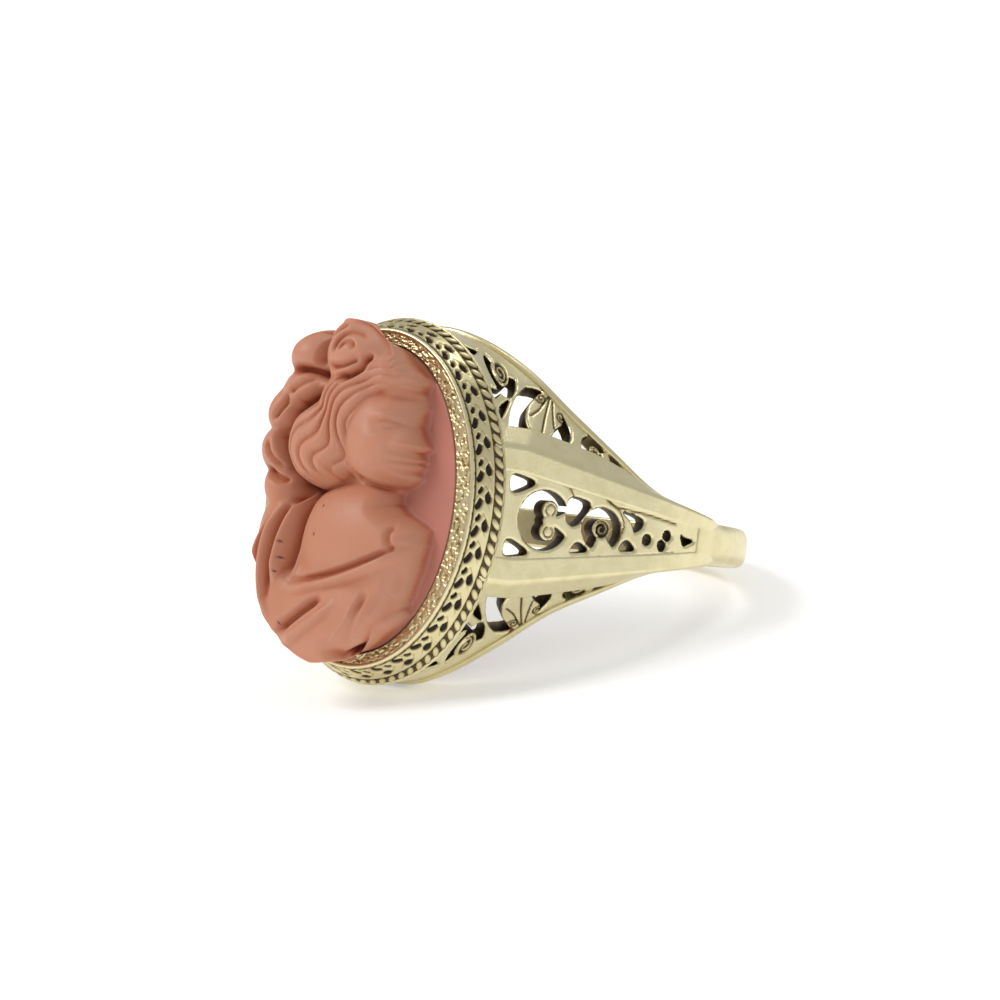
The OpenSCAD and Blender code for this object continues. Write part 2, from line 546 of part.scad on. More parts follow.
module mounting() {
    floor_half = 2 * shank_r;
    color("#d8d0a0") difference() {
        laid_down() mounting_upright();
        translate([-floor_half, -floor_half, -2 * rest_flat]) cube([2 * floor_half, 2 * floor_half, 2 * rest_flat]);
    }
}
module cameo() {
    color("#e08a70") laid_down() cameo_upright();
}

mounting();
cameo();
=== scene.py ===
# A cameo ring: a coral bust in a milled oval bezel, on a pierced gallery, shoulders and shank.
# The script follows the ring as it is put together. Sizes are in millimetres, upright: X across
# the finger, Y along it, Z out through the cameo. Each finished piece is then laid on its side.
import math

import bmesh
import bpy
import numpy as np
from mathutils import Matrix, Vector
from mathutils.geometry import delaunay_2d_cdt


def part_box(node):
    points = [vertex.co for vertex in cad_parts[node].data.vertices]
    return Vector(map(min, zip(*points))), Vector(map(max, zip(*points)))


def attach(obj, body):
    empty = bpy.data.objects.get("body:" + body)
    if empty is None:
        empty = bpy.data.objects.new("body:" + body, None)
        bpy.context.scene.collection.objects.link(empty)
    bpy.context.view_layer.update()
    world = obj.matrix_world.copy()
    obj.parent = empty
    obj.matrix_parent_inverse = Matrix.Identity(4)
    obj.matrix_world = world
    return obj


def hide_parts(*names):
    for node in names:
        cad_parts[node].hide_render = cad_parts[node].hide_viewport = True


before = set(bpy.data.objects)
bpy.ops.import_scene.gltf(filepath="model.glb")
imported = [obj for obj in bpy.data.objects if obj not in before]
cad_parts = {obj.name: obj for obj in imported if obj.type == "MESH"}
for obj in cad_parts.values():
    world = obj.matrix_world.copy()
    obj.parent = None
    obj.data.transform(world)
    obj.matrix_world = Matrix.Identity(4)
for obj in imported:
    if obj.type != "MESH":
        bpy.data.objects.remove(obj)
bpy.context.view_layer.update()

# How the ring lies
# It rests on the lower end of its gallery's rail and on a corner of the shank, both worn a
# little flat, so the finger's line leans back from upright by this angle.
FINGER_R = 8.45
SHANK_R = 9.8
SHANK_HALF_W = 0.9
RAIL_HALF_SPAN = 8.2
EDGE_EASE = 0.12
WORN_FLAT = 0.15
LIE = math.atan2(RAIL_HALF_SPAN - SHANK_HALF_W, FINGER_R + SHANK_R - EDGE_EASE)
LIFT = RAIL_HALF_SPAN * math.cos(LIE) - FINGER_R * math.sin(LIE) - WORN_FLAT
back_reach = (SHANK_HALF_W - EDGE_EASE) * math.sin(LIE) + SHANK_R * math.cos(LIE)
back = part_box("mounting")[1].y * 1000 - back_reach
LAID = Matrix.Translation((0, back, LIFT)) @ Matrix.Rotation(math.pi / 2 - LIE, 4, "X")
TO_METRES = Matrix.Scale(0.001, 4) @ LAID


def laid(points):
    """Upright millimetres to metres on the floor, for an array of points."""
    m = np.array(TO_METRES)
    out = points @ m[:3, :3].T + m[:3, 3]
    out[:, 2] = np.maximum(out[:, 2], 0)
    return out


# Camera
# It looks at the ring from the photograph's side: 38 degrees round from the cameo's front,
# barely below its middle, turned a little in the picture, and far away with a long lens.
CAMERA_ROUND = math.radians(38.24)
CAMERA_UP = math.radians(-1.31)
CAMERA_ROLL = math.radians(7.07)
CAMERA_FAR = 350
PIXELS_PER_MM = 21.37
RING_CENTRE_AT = (538.5, 524.2)
IMAGE_SIDE = 1000
SENSOR = 36

towards = Vector((
    math.sin(CAMERA_ROUND) * math.cos(CAMERA_UP),
    math.sin(CAMERA_UP),
    math.cos(CAMERA_ROUND) * math.cos(CAMERA_UP),
))
level_right = Vector((math.cos(CAMERA_ROUND), 0, -math.sin(CAMERA_ROUND)))
level_up = towards.cross(level_right)
right = level_right * math.cos(CAMERA_ROLL) + level_up * math.sin(CAMERA_ROLL)
up = level_up * math.cos(CAMERA_ROLL) - level_right * math.sin(CAMERA_ROLL)
turn = Matrix((right, up, towards)).transposed().to_4x4()
camera_data = bpy.data.cameras.new("camera")
camera_data.sensor_width = SENSOR
camera_data.lens = PIXELS_PER_MM * CAMERA_FAR / IMAGE_SIDE * SENSOR
camera_data.shift_x = 0.5 - RING_CENTRE_AT[0] / IMAGE_SIDE
camera_data.shift_y = RING_CENTRE_AT[1] / IMAGE_SIDE - 0.5
camera_data.clip_start = 0.01
camera = bpy.data.objects.new("camera", camera_data)
camera.matrix_world = (
    Matrix.Translation(TO_METRES @ (towards * CAMERA_FAR)) @ (LAID.to_3x3() @ turn.to_3x3()).to_4x4()
)
bpy.context.scene.collection.objects.link(camera)
bpy.context.scene.camera = camera


# Gold
# Pale greenish 14 carat gold, worn satin, with a near-black brown patina left in every hollow.
# A piece's "patina" attribute says how much of it each place holds; on the rope's strands it also holds
# painted shade.
GOLD_WORN = (0.80, 0.73, 0.46, 1)
GOLD = (0.69, 0.60, 0.33, 1)
PATINA_THIN = (0.24, 0.18, 0.08, 1)
PATINA = (0.022, 0.012, 0.010, 1)


def link(tree, a, b):
    tree.links.new(a, b)


def colour_ramp(tree, value, stops):
    """A ramp node over (place, colour) stops, fed by value."""
    ramp = tree.nodes.new("ShaderNodeValToRGB")
    elements = ramp.color_ramp.elements
    for place, colour in stops[2:]:
        elements.new(place)
    for element, (place, colour) in zip(elements, sorted(stops)):
        element.position = place
        element.color = colour
    link(tree, value, ramp.inputs["Fac"])
    return ramp.outputs["Color"]


def add_node(tree, kind, feeds, **settings):
    """A node whose inputs are each set to a value, or fed by another node's output."""
    node = tree.nodes.new(kind)
    for key, setting in settings.items():
        setattr(node, key, setting)
    for name, feed in feeds.items():
        if isinstance(feed, bpy.types.NodeSocket):
            link(tree, feed, node.inputs[name])
        else:
            node.inputs[name].default_value = feed
    return node


def noise(tree, scale, detail):
    """Noise over the piece's own place, with scale in bumps per millimetre."""
    place = tree.nodes.new("ShaderNodeTexCoord").outputs["Object"]
    feeds = {"Vector": place, "Scale": scale * 1000, "Detail": detail, "Roughness": 0.55}
    return add_node(tree, "ShaderNodeTexNoise", feeds).outputs["Fac"]


def arithmetic(tree, how, a, b):
    node = add_node(tree, "ShaderNodeMath", {0: a, 1: b}, operation=how, use_clamp=True)
    return node.outputs["Value"]


def attribute(tree, name):
    """A number that the mesh holds at each of its points."""
    return add_node(tree, "ShaderNodeAttribute", {}, attribute_name=name).outputs["Fac"]


def new_material(name):
    material = bpy.data.materials.new(name)
    material.use_nodes = True
    return material, material.node_tree, material.node_tree.nodes["Principled BSDF"]


def add_grain(tree, shader, scale, strength):
    """A fine grain on the surface, 0.03 millimetres high."""
    feeds = {"Strength": strength, "Distance": 0.00003, "Height": noise(tree, scale, 4)}
    link(tree, add_node(tree, "ShaderNodeBump", feeds).outputs["Normal"], shader.inputs["Normal"])


def gold_material():
    material, tree, shader = new_material("pale_gold")
    smudge = arithmetic(tree, "MULTIPLY", noise(tree, 1.3, 5), 0.3)
    smudge = arithmetic(tree, "SUBTRACT", smudge, 0.12)
    dark = arithmetic(tree, "ADD", attribute(tree, "patina"), smudge)
    colour = colour_ramp(
        tree, dark, [(0.0, GOLD_WORN), (1.0, PATINA), (0.15, GOLD), (0.45, PATINA_THIN), (0.72, PATINA)]
    )
    link(tree, colour, shader.inputs["Base Color"])
    metal = colour_ramp(tree, dark, [(0.35, (1, 1, 1, 1)), (0.85, (0.25, 0.25, 0.25, 1))])
    link(tree, metal, shader.inputs["Metallic"])
    scratch = arithmetic(tree, "MULTIPLY", noise(tree, 6, 3), 0.22)
    worn = arithmetic(tree, "ADD", scratch, 0.2)
    rough = arithmetic(tree, "ADD", worn, arithmetic(tree, "MULTIPLY", dark, 0.35))
    link(tree, rough, shader.inputs["Roughness"])
    add_grain(tree, shader, 9, 0.25)
    return material


def new_piece(name, points, faces, material, **attributes):
    """A mesh from upright millimetres, laid on the floor, with its faces smooth."""
    mesh = bpy.data.meshes.new(name)
    corners = [tuple(int(i) for i in f) for f in faces]
    mesh.from_pydata(laid(np.asarray(points, float)).tolist(), [], corners)
    mesh.update()
    mesh.materials.append(material)
    mesh.polygons.foreach_set("use_smooth", np.full(len(mesh.polygons), True))
    for key, values in attributes.items():
        layer = mesh.attributes.new(key, "FLOAT", "POINT")
        layer.data.foreach_set("value", np.clip(np.asarray(values, float), 0, 1))
    piece = bpy.data.objects.new(name, mesh)
    bpy.context.scene.collection.objects.link(piece)
    return piece


def soften(piece, angle):
    """Splits the shading at edges sharper than angle, in degrees."""
    mesh = piece.data
    tool = bmesh.new()
    tool.from_mesh(mesh)
    for e in tool.edges:
        e.smooth = len(e.link_faces) != 2 or e.calc_face_angle(0) < math.radians(angle)
    tool.to_mesh(mesh)
    tool.free()


def grid_faces(rows, columns, wrap_rows=False, wrap_columns=False):
    """Quads over a grid of points laid out row by row."""
    r = np.arange(rows if wrap_rows else rows - 1)
    c = np.arange(columns if wrap_columns else columns - 1)
    a = r[:, None] * columns + c[None, :]
    b = r[:, None] * columns + (c[None, :] + 1) % columns
    d = (r[:, None] + 1) % rows * columns + c[None, :]
    e = (r[:, None] + 1) % rows * columns + (c[None, :] + 1) % columns
    return np.stack([a, b, e, d], -1).reshape(-1, 4)


gold = gold_material()


def keep_gold(piece):
    """One piece of the soldered mounting."""
    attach(piece, "root")
    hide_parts("mounting")


# Bezel
# An oval cup of sheet gold round the stone. Its rim is chiselled all over, a fine bright ridge
# runs round it, and the band outside is cut like an ear of wheat, with two rows of drops.
RIM_OVAL = np.array([4.88, 7.03])
RIDGE_OVAL = RIM_OVAL + [1.17, 0.76]
FOOT_OVAL = RIDGE_OVAL + 0.64
GIRDLE_OVAL = np.array([5.0, 7.15])
SEAT_Z = 11.02
RIDGE_Z = 12.73
RIM_Z = RIDGE_Z - 0.18
LEDGE_T = 0.5
LEDGE_W = 0.9
BEZEL_STEPS = 1080
RIM_ROWS = 18
RIM_CLIMB = 0.05
MARK_DEPTH = 0.1
RIDGE_ROUND = 0.1
BAND_ROWS = 40
BAND_SWELL = 0.05
FOOT_ROUND = 0.09
WHEAT_COUNT = 36
# The wheat's pits: [place along one grain, place down the band, half length, half width, lean]
WHEAT_PITS = [
    (0.25, 0.19, 0.25, 0.135, 0.9), (0.74, 0.21, 0.16, 0.1, 0.7), (0.5, 0.47, 0.27, 0.13, -0.35),
]
WHEAT_DEPTH = 0.16
# Fine veins slant between the drops of the upper row
VEIN_DEPTH = 0.045
# A shallow channel under the wheat holds the rope edge, and a line is cut along each side of the band
CHANNEL = (0.62, 0.93)
CHANNEL_DEPTH = 0.05
SIDE_LINES = (0.935, 0.03)
LINE_W = 0.022
LINE_DEPTH = 0.06
# How dark each part of the bezel is: the drops and the marks add to it
BEZEL_PATINA = {"inside": 0.8, "lip": 0.5, "rim": 0, "ridge": 0, "band": 0.06, "foot": 0, "under": 0.5}


def clamp01(x):
    return np.clip(x, 0, 1)


def ease(x):
    x = clamp01(x)
    return x * x * (3 - 2 * x)


def between(a, b, t):
    return np.asarray(a, float) * (1 - t) + np.asarray(b, float) * t


def run_length(line):
    """Length along a line from its first point to each of them."""
    return np.concatenate([[0], np.cumsum(np.linalg.norm(np.diff(line, axis=0), axis=1))])


def on_circle(a):
    """Places on a circle of radius 1, at angles in radians."""
    return np.stack([np.cos(a), np.sin(a)], -1)


def even_angles(axes, count):
    """The angles of places spaced evenly round an oval."""
    fine = np.linspace(0, 2 * math.pi, 7201)
    length = run_length(on_circle(fine) * axes)
    return np.interp(np.arange(count) / count, length / length[-1], fine)


def band_place(down):
    """Half axes and height on the band outside, with down from 0 at the ridge to 1 at the foot."""
    axes = between(RIDGE_OVAL, FOOT_OVAL, down) + BAND_SWELL * math.sin(math.pi * down)
    return axes, RIDGE_Z - 0.06 + (SEAT_Z + 0.02 - RIDGE_Z) * down


def drop_pits(along, down):
    """Depth 0 to 1 of the pits between the grains, each a drop with its point ahead."""
    depth = np.zeros_like(along)
    for place, middle, half_l, half_w, lean in WHEAT_PITS:
        y = (down - middle) / half_w
        x = along * WHEAT_COUNT - place - lean * (down - middle)
        x = (x - np.round(x)) / half_l
        width = np.where(x < 0, 1, np.maximum(1 - x, 0.02))
        depth = np.maximum(depth, clamp01(2.2 * (1 - x**2 - (y / width) ** 2)))
    return depth


def bezel_rows():
    """The bezel's section as rows of [half axes, height, part], from the seat out and back."""
    lip, inner_rim, ledge = RIM_OVAL + 0.04, RIM_OVAL + 0.09, GIRDLE_OVAL - LEDGE_W
    rows = [(GIRDLE_OVAL + 0.05, SEAT_Z + 0.3, "inside"), (lip, RIM_Z - 0.25, "inside")]
    rows += [(lip, RIM_Z - 0.05, "lip"), (inner_rim, RIM_Z + 0.01, "lip")]
    for t in np.linspace(1 / RIM_ROWS, 1, RIM_ROWS):
        rows.append((between(inner_rim, RIDGE_OVAL - 0.19, t), RIM_Z + 0.01 + RIM_CLIMB * t, "rim"))
    for a in np.radians(np.linspace(20, 160, 9)):
        axes = RIDGE_OVAL - RIDGE_ROUND - 0.105 * math.cos(a)
        rows.append((axes, RIDGE_Z - RIDGE_ROUND * (1 - math.sin(a)), "ridge"))
    for down in np.linspace(0.06, 0.93, BAND_ROWS):
        axes, z = band_place(down)
        rows.append((axes - 0.02, z, "band"))
    for a in np.radians(np.linspace(-10, 90, 6)):
        axes = FOOT_OVAL - FOOT_ROUND * (1 - math.cos(a))
        rows.append((axes, SEAT_Z + 0.08 * (1 - math.sin(a)), "foot"))
    return rows + [
        (FOOT_OVAL - 0.85, SEAT_Z, "under"), (ledge + 0.1, SEAT_Z - LEDGE_T, "under"),
        (ledge, SEAT_Z - LEDGE_T + 0.1, "under"), (ledge, SEAT_Z - 0.06, "inside"),
        (ledge + 0.1, SEAT_Z, "inside"), (GIRDLE_OVAL + 0.05, SEAT_Z, "inside"),
    ]


def bezel():
    rows = bezel_rows()
    turns = np.arange(BEZEL_STEPS) / BEZEL_STEPS
    angle = even_angles(FOOT_OVAL, BEZEL_STEPS)
    ring = on_circle(angle)
    points = np.zeros((len(rows), BEZEL_STEPS, 3))
    patina = np.zeros((len(rows), BEZEL_STEPS))
    parts = [part for _, _, part in rows]
    # The rim is chiselled all over with short strokes that run outwards
    chance = np.random.default_rng(7)
    marks = chance.random((RIM_ROWS, BEZEL_STEPS // 3)).repeat(3, 1)
    coarse = chance.random((RIM_ROWS // 3, BEZEL_STEPS // 4)).repeat(3, 0).repeat(4, 1)
    marks = 0.35 * marks + 0.65 * coarse
    marks = (marks + np.roll(marks, 1, 1) + np.roll(marks, 1, 0)) / 3
    brown = 0.5 + 0.25 * np.sin(3 * angle + 0.6) + 0.25 * np.sin(7 * angle + 2)
    for i, (axes, z, part) in enumerate(rows):
        points[i, :, :2] = ring * axes
        points[i, :, 2] = z
        patina[i] = BEZEL_PATINA[part]
        if part == "rim":
            mark = marks[i - parts.index("rim")]
            points[i, :, 2] -= MARK_DEPTH * clamp01(2.4 * (mark - 0.5))
            patina[i] = 0.06 + clamp01(3.2 * (mark - 0.56)) * (0.2 + 0.3 * brown)
        if part == "band":
            down = (i - parts.index("band")) / (BAND_ROWS - 1)
            pits = drop_pits(turns, np.full(BEZEL_STEPS, down))
            channel = ease((down - CHANNEL[0]) / 0.06) * ease((CHANNEL[1] - down) / 0.05)
            line = sum(math.exp(-((down - at) / LINE_W) ** 2) for at in SIDE_LINES)
            slant = turns * WHEAT_COUNT * 2 + 3.4 * abs(down - 0.34)
            vein = clamp01(np.cos(2 * math.pi * slant + 1.2) - 0.6) * ease((0.56 - down) / 0.06)
            depth = WHEAT_DEPTH * ease(pits) + CHANNEL_DEPTH * channel + LINE_DEPTH * line
            depth = depth + VEIN_DEPTH * vein
            points[i, :, :2] -= depth[:, None] * ring
            patina[i] = np.maximum(patina[i] + ease(pits), 0.6 * vein)
            patina[i] = np.maximum(patina[i], max(0.6 * channel, 0.9 * line))
    faces = grid_faces(len(rows), BEZEL_STEPS, True, True)[:, ::-1]
    keep_gold(new_piece("bezel", points.reshape(-1, 3), faces, gold, patina=patina.ravel()))


bezel()


# Rope edge
# The band's lower border: leaf-shaped strands of gold, one behind the other, chased up out of a
# shallow channel just over the bezel's foot.
ROPE_COUNT = 84
ROPE_DOWN = 0.775
STRAND_HALF_L = 0.36
STRAND_HALF_W = 0.17
STRAND_RISE = 0.1
STRAND_LEAN = 42
STRAND_SUNK = 0.06
ROPE_INPUTS = {
    "Places": "Geometry", "Half length": "Float", "Half width": "Float", "Rise": "Float",
    "Lean": "Float", "Metal": "Material",
}


def rope_tree():
    """A node tree that sets one strand at each point, turned by the point's own angles."""
    tree = bpy.data.node_groups.new("rope_strands", "GeometryNodeTree")
    for name, kind in ROPE_INPUTS.items():
        tree.interface.new_socket(name, in_out="INPUT", socket_type="NodeSocket" + kind)
    tree.interface.new_socket("Rope", in_out="OUTPUT", socket_type="NodeSocketGeometry")
    given = tree.nodes.new("NodeGroupInput").outputs
    ball = add_node(tree, "GeometryNodeMeshUVSphere", {"Segments": 16, "Rings": 10, "Radius": 1})
    place = add_node(tree, "GeometryNodeInputPosition", {})
    height = add_node(tree, "ShaderNodeSeparateXYZ", {"Vector": place.outputs["Position"]})
    # The strand's top is rubbed bright, and its sides darken towards the base with patina and painted shade
    stain = add_node(tree, "ShaderNodeMapRange", {
        "Value": height.outputs["Z"], "From Max": 0.9, "To Min": 0.75, "To Max": 0.04,
    })
    stained_and_shaded = add_node(tree, "GeometryNodeStoreNamedAttribute", {
        "Geometry": ball.outputs["Mesh"], "Name": "patina", "Value": stain.outputs["Result"],
    }, data_type="FLOAT", domain="POINT")
    size = add_node(tree, "ShaderNodeCombineXYZ", {
        "X": given["Half length"], "Y": given["Half width"], "Z": given["Rise"],
    })
    turn = add_node(tree, "ShaderNodeCombineXYZ", {"Z": given["Lean"]})
    shape = add_node(tree, "GeometryNodeTransform", {
        "Geometry": stained_and_shaded.outputs["Geometry"], "Scale": size.outputs["Vector"],
        "Rotation": turn.outputs["Vector"],
    })
    turned = add_node(tree, "GeometryNodeInputNamedAttribute", {"Name": "turned"}, data_type="FLOAT_VECTOR")
    strands = add_node(tree, "GeometryNodeInstanceOnPoints", {
        "Points": given["Places"], "Instance": shape.outputs["Geometry"],
        "Rotation": turned.outputs["Attribute"],
    })
    real = add_node(tree, "GeometryNodeRealizeInstances", {"Geometry": strands.outputs["Instances"]})
    metal = add_node(tree, "GeometryNodeSetMaterial", {
        "Geometry": real.outputs["Geometry"], "Material": given["Metal"],
    })
    add_node(tree, "NodeGroupOutput", {"Rope": metal.outputs["Geometry"]})
    return tree


def rope_edge():
    axes, z = band_place(ROPE_DOWN)
    axes = axes - STRAND_SUNK
    angle = even_angles(axes, ROPE_COUNT)
    places = bpy.data.meshes.new("rope_places")
    places.from_pydata([(x, y, z) for x, y in on_circle(angle) * axes], [], [])
    slope = Vector((FOOT_OVAL[0] - RIDGE_OVAL[0], 0, SEAT_Z - RIDGE_Z)).normalized()
    turned = []
    for a in angle:
        along = Vector((-axes[0] * math.sin(a), axes[1] * math.cos(a), 0)).normalized()
        down = Vector((along.y * slope.x, -along.x * slope.x, slope.z))
        out = down.cross(along).normalized()
        turned.append(Matrix((along, out.cross(along), out)).transposed().to_euler())
    held = places.attributes.new("turned", "FLOAT_VECTOR", "POINT")
    held.data.foreach_set("vector", np.array([tuple(e) for e in turned]).ravel())
    carrier = bpy.data.objects.new("rope_places", places)
    bpy.context.scene.collection.objects.link(carrier)
    nodes = carrier.modifiers.new("rope", "NODES")
    nodes.node_group = rope_tree()
    values = {
        "Half length": STRAND_HALF_L, "Half width": STRAND_HALF_W, "Rise": STRAND_RISE,
        "Lean": math.radians(STRAND_LEAN), "Metal": gold,
    }
    for item in nodes.node_group.interface.items_tree:
        if item.name in values:
            nodes[item.identifier] = values[item.name]
    bpy.context.view_layer.update()
    evaluated = carrier.evaluated_get(bpy.context.evaluated_depsgraph_get())
    made = bpy.data.meshes.new_from_object(evaluated)
    carrier.modifiers.remove(nodes)
    bpy.data.objects.remove(carrier)
    points = np.array([tuple(v.co) for v in made.vertices])
    patina = np.array([d.value for d in made.attributes["patina"].data])
    keep_gold(new_piece("rope_edge", points, [f.vertices for f in made.polygons], gold, patina=patina))


rope_edge()


# Gallery rails, bars and shank
# Square gold wire with its edges rubbed round. Four bars leave the bezel's foot and close in on
# the shank, and two rails run round the finger hole, wide apart under the cameo. The plain
# shank closes the ring at the back.
WALL_T = 0.85
BAR_SPACING = 5.0
BAR_W = 1.2
BAR_END_W = 0.76
BAR_LEVEL_L = 1.2
MERGE_DROP = 9
# The rails' share of their whole spread: [angle round the finger, share]
RAIL_ROWS = np.array([
    (-90, 0), (-34, 0), (0, 0.058), (15, 0.135), (30, 0.29), (45, 0.463), (60, 0.708), (75, 0.911),
    (90, 1), (105, 0.911),
])
CORNER_LEAN = 2.5
LEAN_L = 4.7
EVEN_TURN = 0.7
# The wall over the finger bulges further out than the one under it: [angle, share]
UPPER_SWELL = 0.85
SWELL_ROWS = np.array([
    (-90, 0), (0, 0.05), (15, 0.18), (30, 0.55), (45, 0.95), (60, 0.85), (75, 0.4), (90, 0.1),
    (105, 0.4),
])
RAIL_W = 0.42
RAIL_RISE = 0.02
BAR_CORNER = 0.13
RAIL_CORNER = 0.12
SHANK_START = 1.84
SHANK_ROUND_W = 0.6
SHANK_ROUND_H = 0.42
SHANK_INNER_ROUND = 0.1

corner_turn = math.acos((BAR_SPACING / 2 + BAR_W / 2) / FOOT_OVAL[1])
corner = np.array([FOOT_OVAL[0] * math.sin(corner_turn), SEAT_Z])
corner_angle = math.degrees(math.atan2(corner[1], corner[0]))
touch_angle = corner_angle - math.degrees(math.acos(SHANK_R / np.hypot(*corner)))
touch = SHANK_R * on_circle(math.radians(touch_angle))
line_l = np.hypot(*(touch - corner))
degree_l = SHANK_R * math.pi / 180
bar_l = line_l + (touch_angle + MERGE_DROP) * degree_l
half_loop_l = line_l + (touch_angle + 90) * degree_l
BAR_PLACES = np.linspace(-0.5, bar_l + 1.2, 120)
RAIL_PLACES = np.concatenate([np.linspace(0, 1, 50, endpoint=False), np.linspace(1, 2.05, 90)])
SECTION_POINTS = 24
# The wires sink into the shank at their ends
BAR_FADE_START = bar_l - 1.2
BAR_FADE_L = 2.3
BAR_SUNK = 0.46
BAR_IN = 0.3
RAIL_FADE_START = 1.86
RAIL_FADE_L = 0.18
RAIL_IN = 0.2
RAIL_OUT = 0.02
# Where a wire's flat side starts past its rounded corner, in corner radii
FLAT_START = 0.3


def smooth_rows(rows, x):
    """A smooth curve through rows of (place, value), read at x."""
    places, values = rows[:, 0], rows[:, 1]
    n = len(rows)
    low, high = np.maximum(np.arange(n) - 1, 0), np.minimum(np.arange(n) + 1, n - 1)
    slopes = (values[high] - values[low]) / (places[high] - places[low])
    i = np.clip(np.searchsorted(places, x) - 1, 0, n - 2)
    h = places[i + 1] - places[i]
    f = clamp01((x - places[i]) / h)
    return (
        (2 * f**3 - 3 * f**2 + 1) * values[i] + (f**3 - 2 * f**2 + f) * h * slopes[i]
        + (3 * f**2 - 2 * f**3) * values[i + 1] + (f**3 - f**2) * h * slopes[i + 1]
    )


def bar_path(p):
    """The shoulder's middle line from the front, as (across, out), p millimetres from the bezel."""
    p = np.asarray(p, float)
    a = np.radians(touch_angle - (p - line_l) / degree_l)
    straight = corner + (touch - corner) * (p / line_l)[..., None]
    bent = SHANK_R * on_circle(a)
    return np.where((p <= line_l)[..., None], straight, bent)


def closing(p):
    """How far the two bars of a shoulder have closed in on the shank, 0 to 1."""
    return clamp01((p - BAR_LEVEL_L) / (bar_l - BAR_LEVEL_L))


def bar_width(p):
    return BAR_W + (BAR_END_W - BAR_W) * closing(p)


def bar_outside(p):
    middle = BAR_SPACING / 2 + (SHANK_HALF_W - BAR_END_W / 2 - BAR_SPACING / 2) * closing(p)
    return middle + bar_width(p) / 2


def run(u):
    """Millimetres down the shoulder at place u."""
    return np.where(u <= 2, (u - 1) * bar_l, bar_l + (u - 2) * (half_loop_l - bar_l))


def edge(u):
    """The side wall's outer edge, with u from 0 to 1 round the bezel's foot, to 2 down the bar and
    to 3 round the shank."""
    u = np.asarray(u, float)
    t = corner_turn * np.minimum(u, 1)
    foot = np.stack([FOOT_OVAL[0] * np.sin(t), FOOT_OVAL[1] * np.cos(t), np.full(u.shape, SEAT_Z)], -1)
    p = np.maximum(run(u), 0)
    q = bar_path(p)
    bar = np.stack([q[..., 0], bar_outside(p), q[..., 1]], -1)
    return np.where((u <= 1)[..., None], foot, bar)


def rail_angle(u):
    u = np.asarray(u, float)
    p = np.maximum(run(u), 0)
    q = bar_path(p)
    down_bar = np.degrees(np.arctan2(q[..., 1], q[..., 0])) - CORNER_LEAN * np.maximum(0, 1 - p / LEAN_L)
    w = np.clip(u, 0, 1)
    along_foot = 90 - (90 - corner_angle + CORNER_LEAN) * w * (EVEN_TURN + (1 - EVEN_TURN) * w)
    return np.where(u <= 1, along_foot, down_bar)


def rail_half(angle, upper=0):
    spread = SHANK_HALF_W + (RAIL_HALF_SPAN - SHANK_HALF_W) * smooth_rows(RAIL_ROWS, angle)
    return spread + upper * UPPER_SWELL * smooth_rows(SWELL_ROWS, angle)


def rail(u, upper=0):
    """The rail's place; upper is 1 over the finger, where the wall bulges out, and 0 under it."""
    angle = rail_angle(u)
    x, z = np.moveaxis(FINGER_R * on_circle(np.radians(angle)), -1, 0)
    return np.stack([x, rail_half(angle, upper), z], -1)


def unit(v):
    return v / np.linalg.norm(v, axis=-1, keepdims=True)


def wall(u, v, upper=0):
    """A place on the side wall, with v from 0 at its outer edge to 1 at the rail."""
    v = np.asarray(v, float)[..., None]
    return edge(u) * (1 - v) + rail(u, upper) * v


def wall_down(u, upper=0):
    return unit(rail(u, upper) - edge(u))


def wall_along(u, v, upper=0):
    u = np.asarray(u, float)
    along = wall(u + 0.02, v, upper) - wall(np.maximum(u - 0.02, 0), v, upper)
    return unit(np.where((u < 0.02)[..., None], np.array([1.0, 0, 0]), along))


def wall_out(u, v, upper=0):
    return unit(np.cross(wall_along(u, v, upper), wall_down(u, upper)))


def panel_out(p):
    """The way out from the shoulder's middle line."""
    p = np.asarray(p)
    d = unit(bar_path(p + 0.05) - bar_path(np.maximum(p - 0.05, 0)))
    return np.stack([-d[..., 1], np.zeros(d.shape[:-1]), d[..., 0]], -1)


def round_section(w, t, r):
    """A rectangle w wide and t deep with rounded corners, as (across, depth), across from 0 to w."""
    out = []
    for x, y, first in ((r, -r, 180), (w - r, -r, 90), (w - r, r - t, 0), (r, r - t, -90)):
        arc = on_circle(np.radians(first - np.array([0, 30, 60, 90])))
        # A point past each end of the arc keeps the flat sides flat
        before, after = arc[[0, 3]] - FLAT_START * arc[[3, 0]]
        out.append(np.vstack([before, arc, after]) * r + [x, y])
    return np.concatenate(out)


def tidy_normals(piece):
    """Merges doubles and turns every face outwards."""
    tool = bmesh.new()
    tool.from_mesh(piece.data)
    bmesh.ops.remove_doubles(tool, verts=tool.verts, dist=1e-6)
    bmesh.ops.recalc_face_normals(tool, faces=tool.faces)
    tool.to_mesh(piece.data)
    tool.free()


def four_ways(name, quarter, rows, columns, stain):
    """One piece from a quarter of the ring and its mirror images; quarter(upper) gives the points."""
    faces = grid_faces(rows, columns, False, True)
    points, where = [], []
    for sx in (1, -1):
        for sy in (1, -1):
            turned = faces if sx * sy > 0 else faces[:, ::-1]
            where.append(turned + len(points) * rows * columns)
            points.append(quarter(max(sy, 0)).reshape(-1, 3) * [sx, sy, 1])
    points = np.concatenate(points)
    piece = new_piece(name, points, np.concatenate(where), gold, patina=np.full(len(points), stain))
    tidy_normals(piece)
    keep_gold(piece)


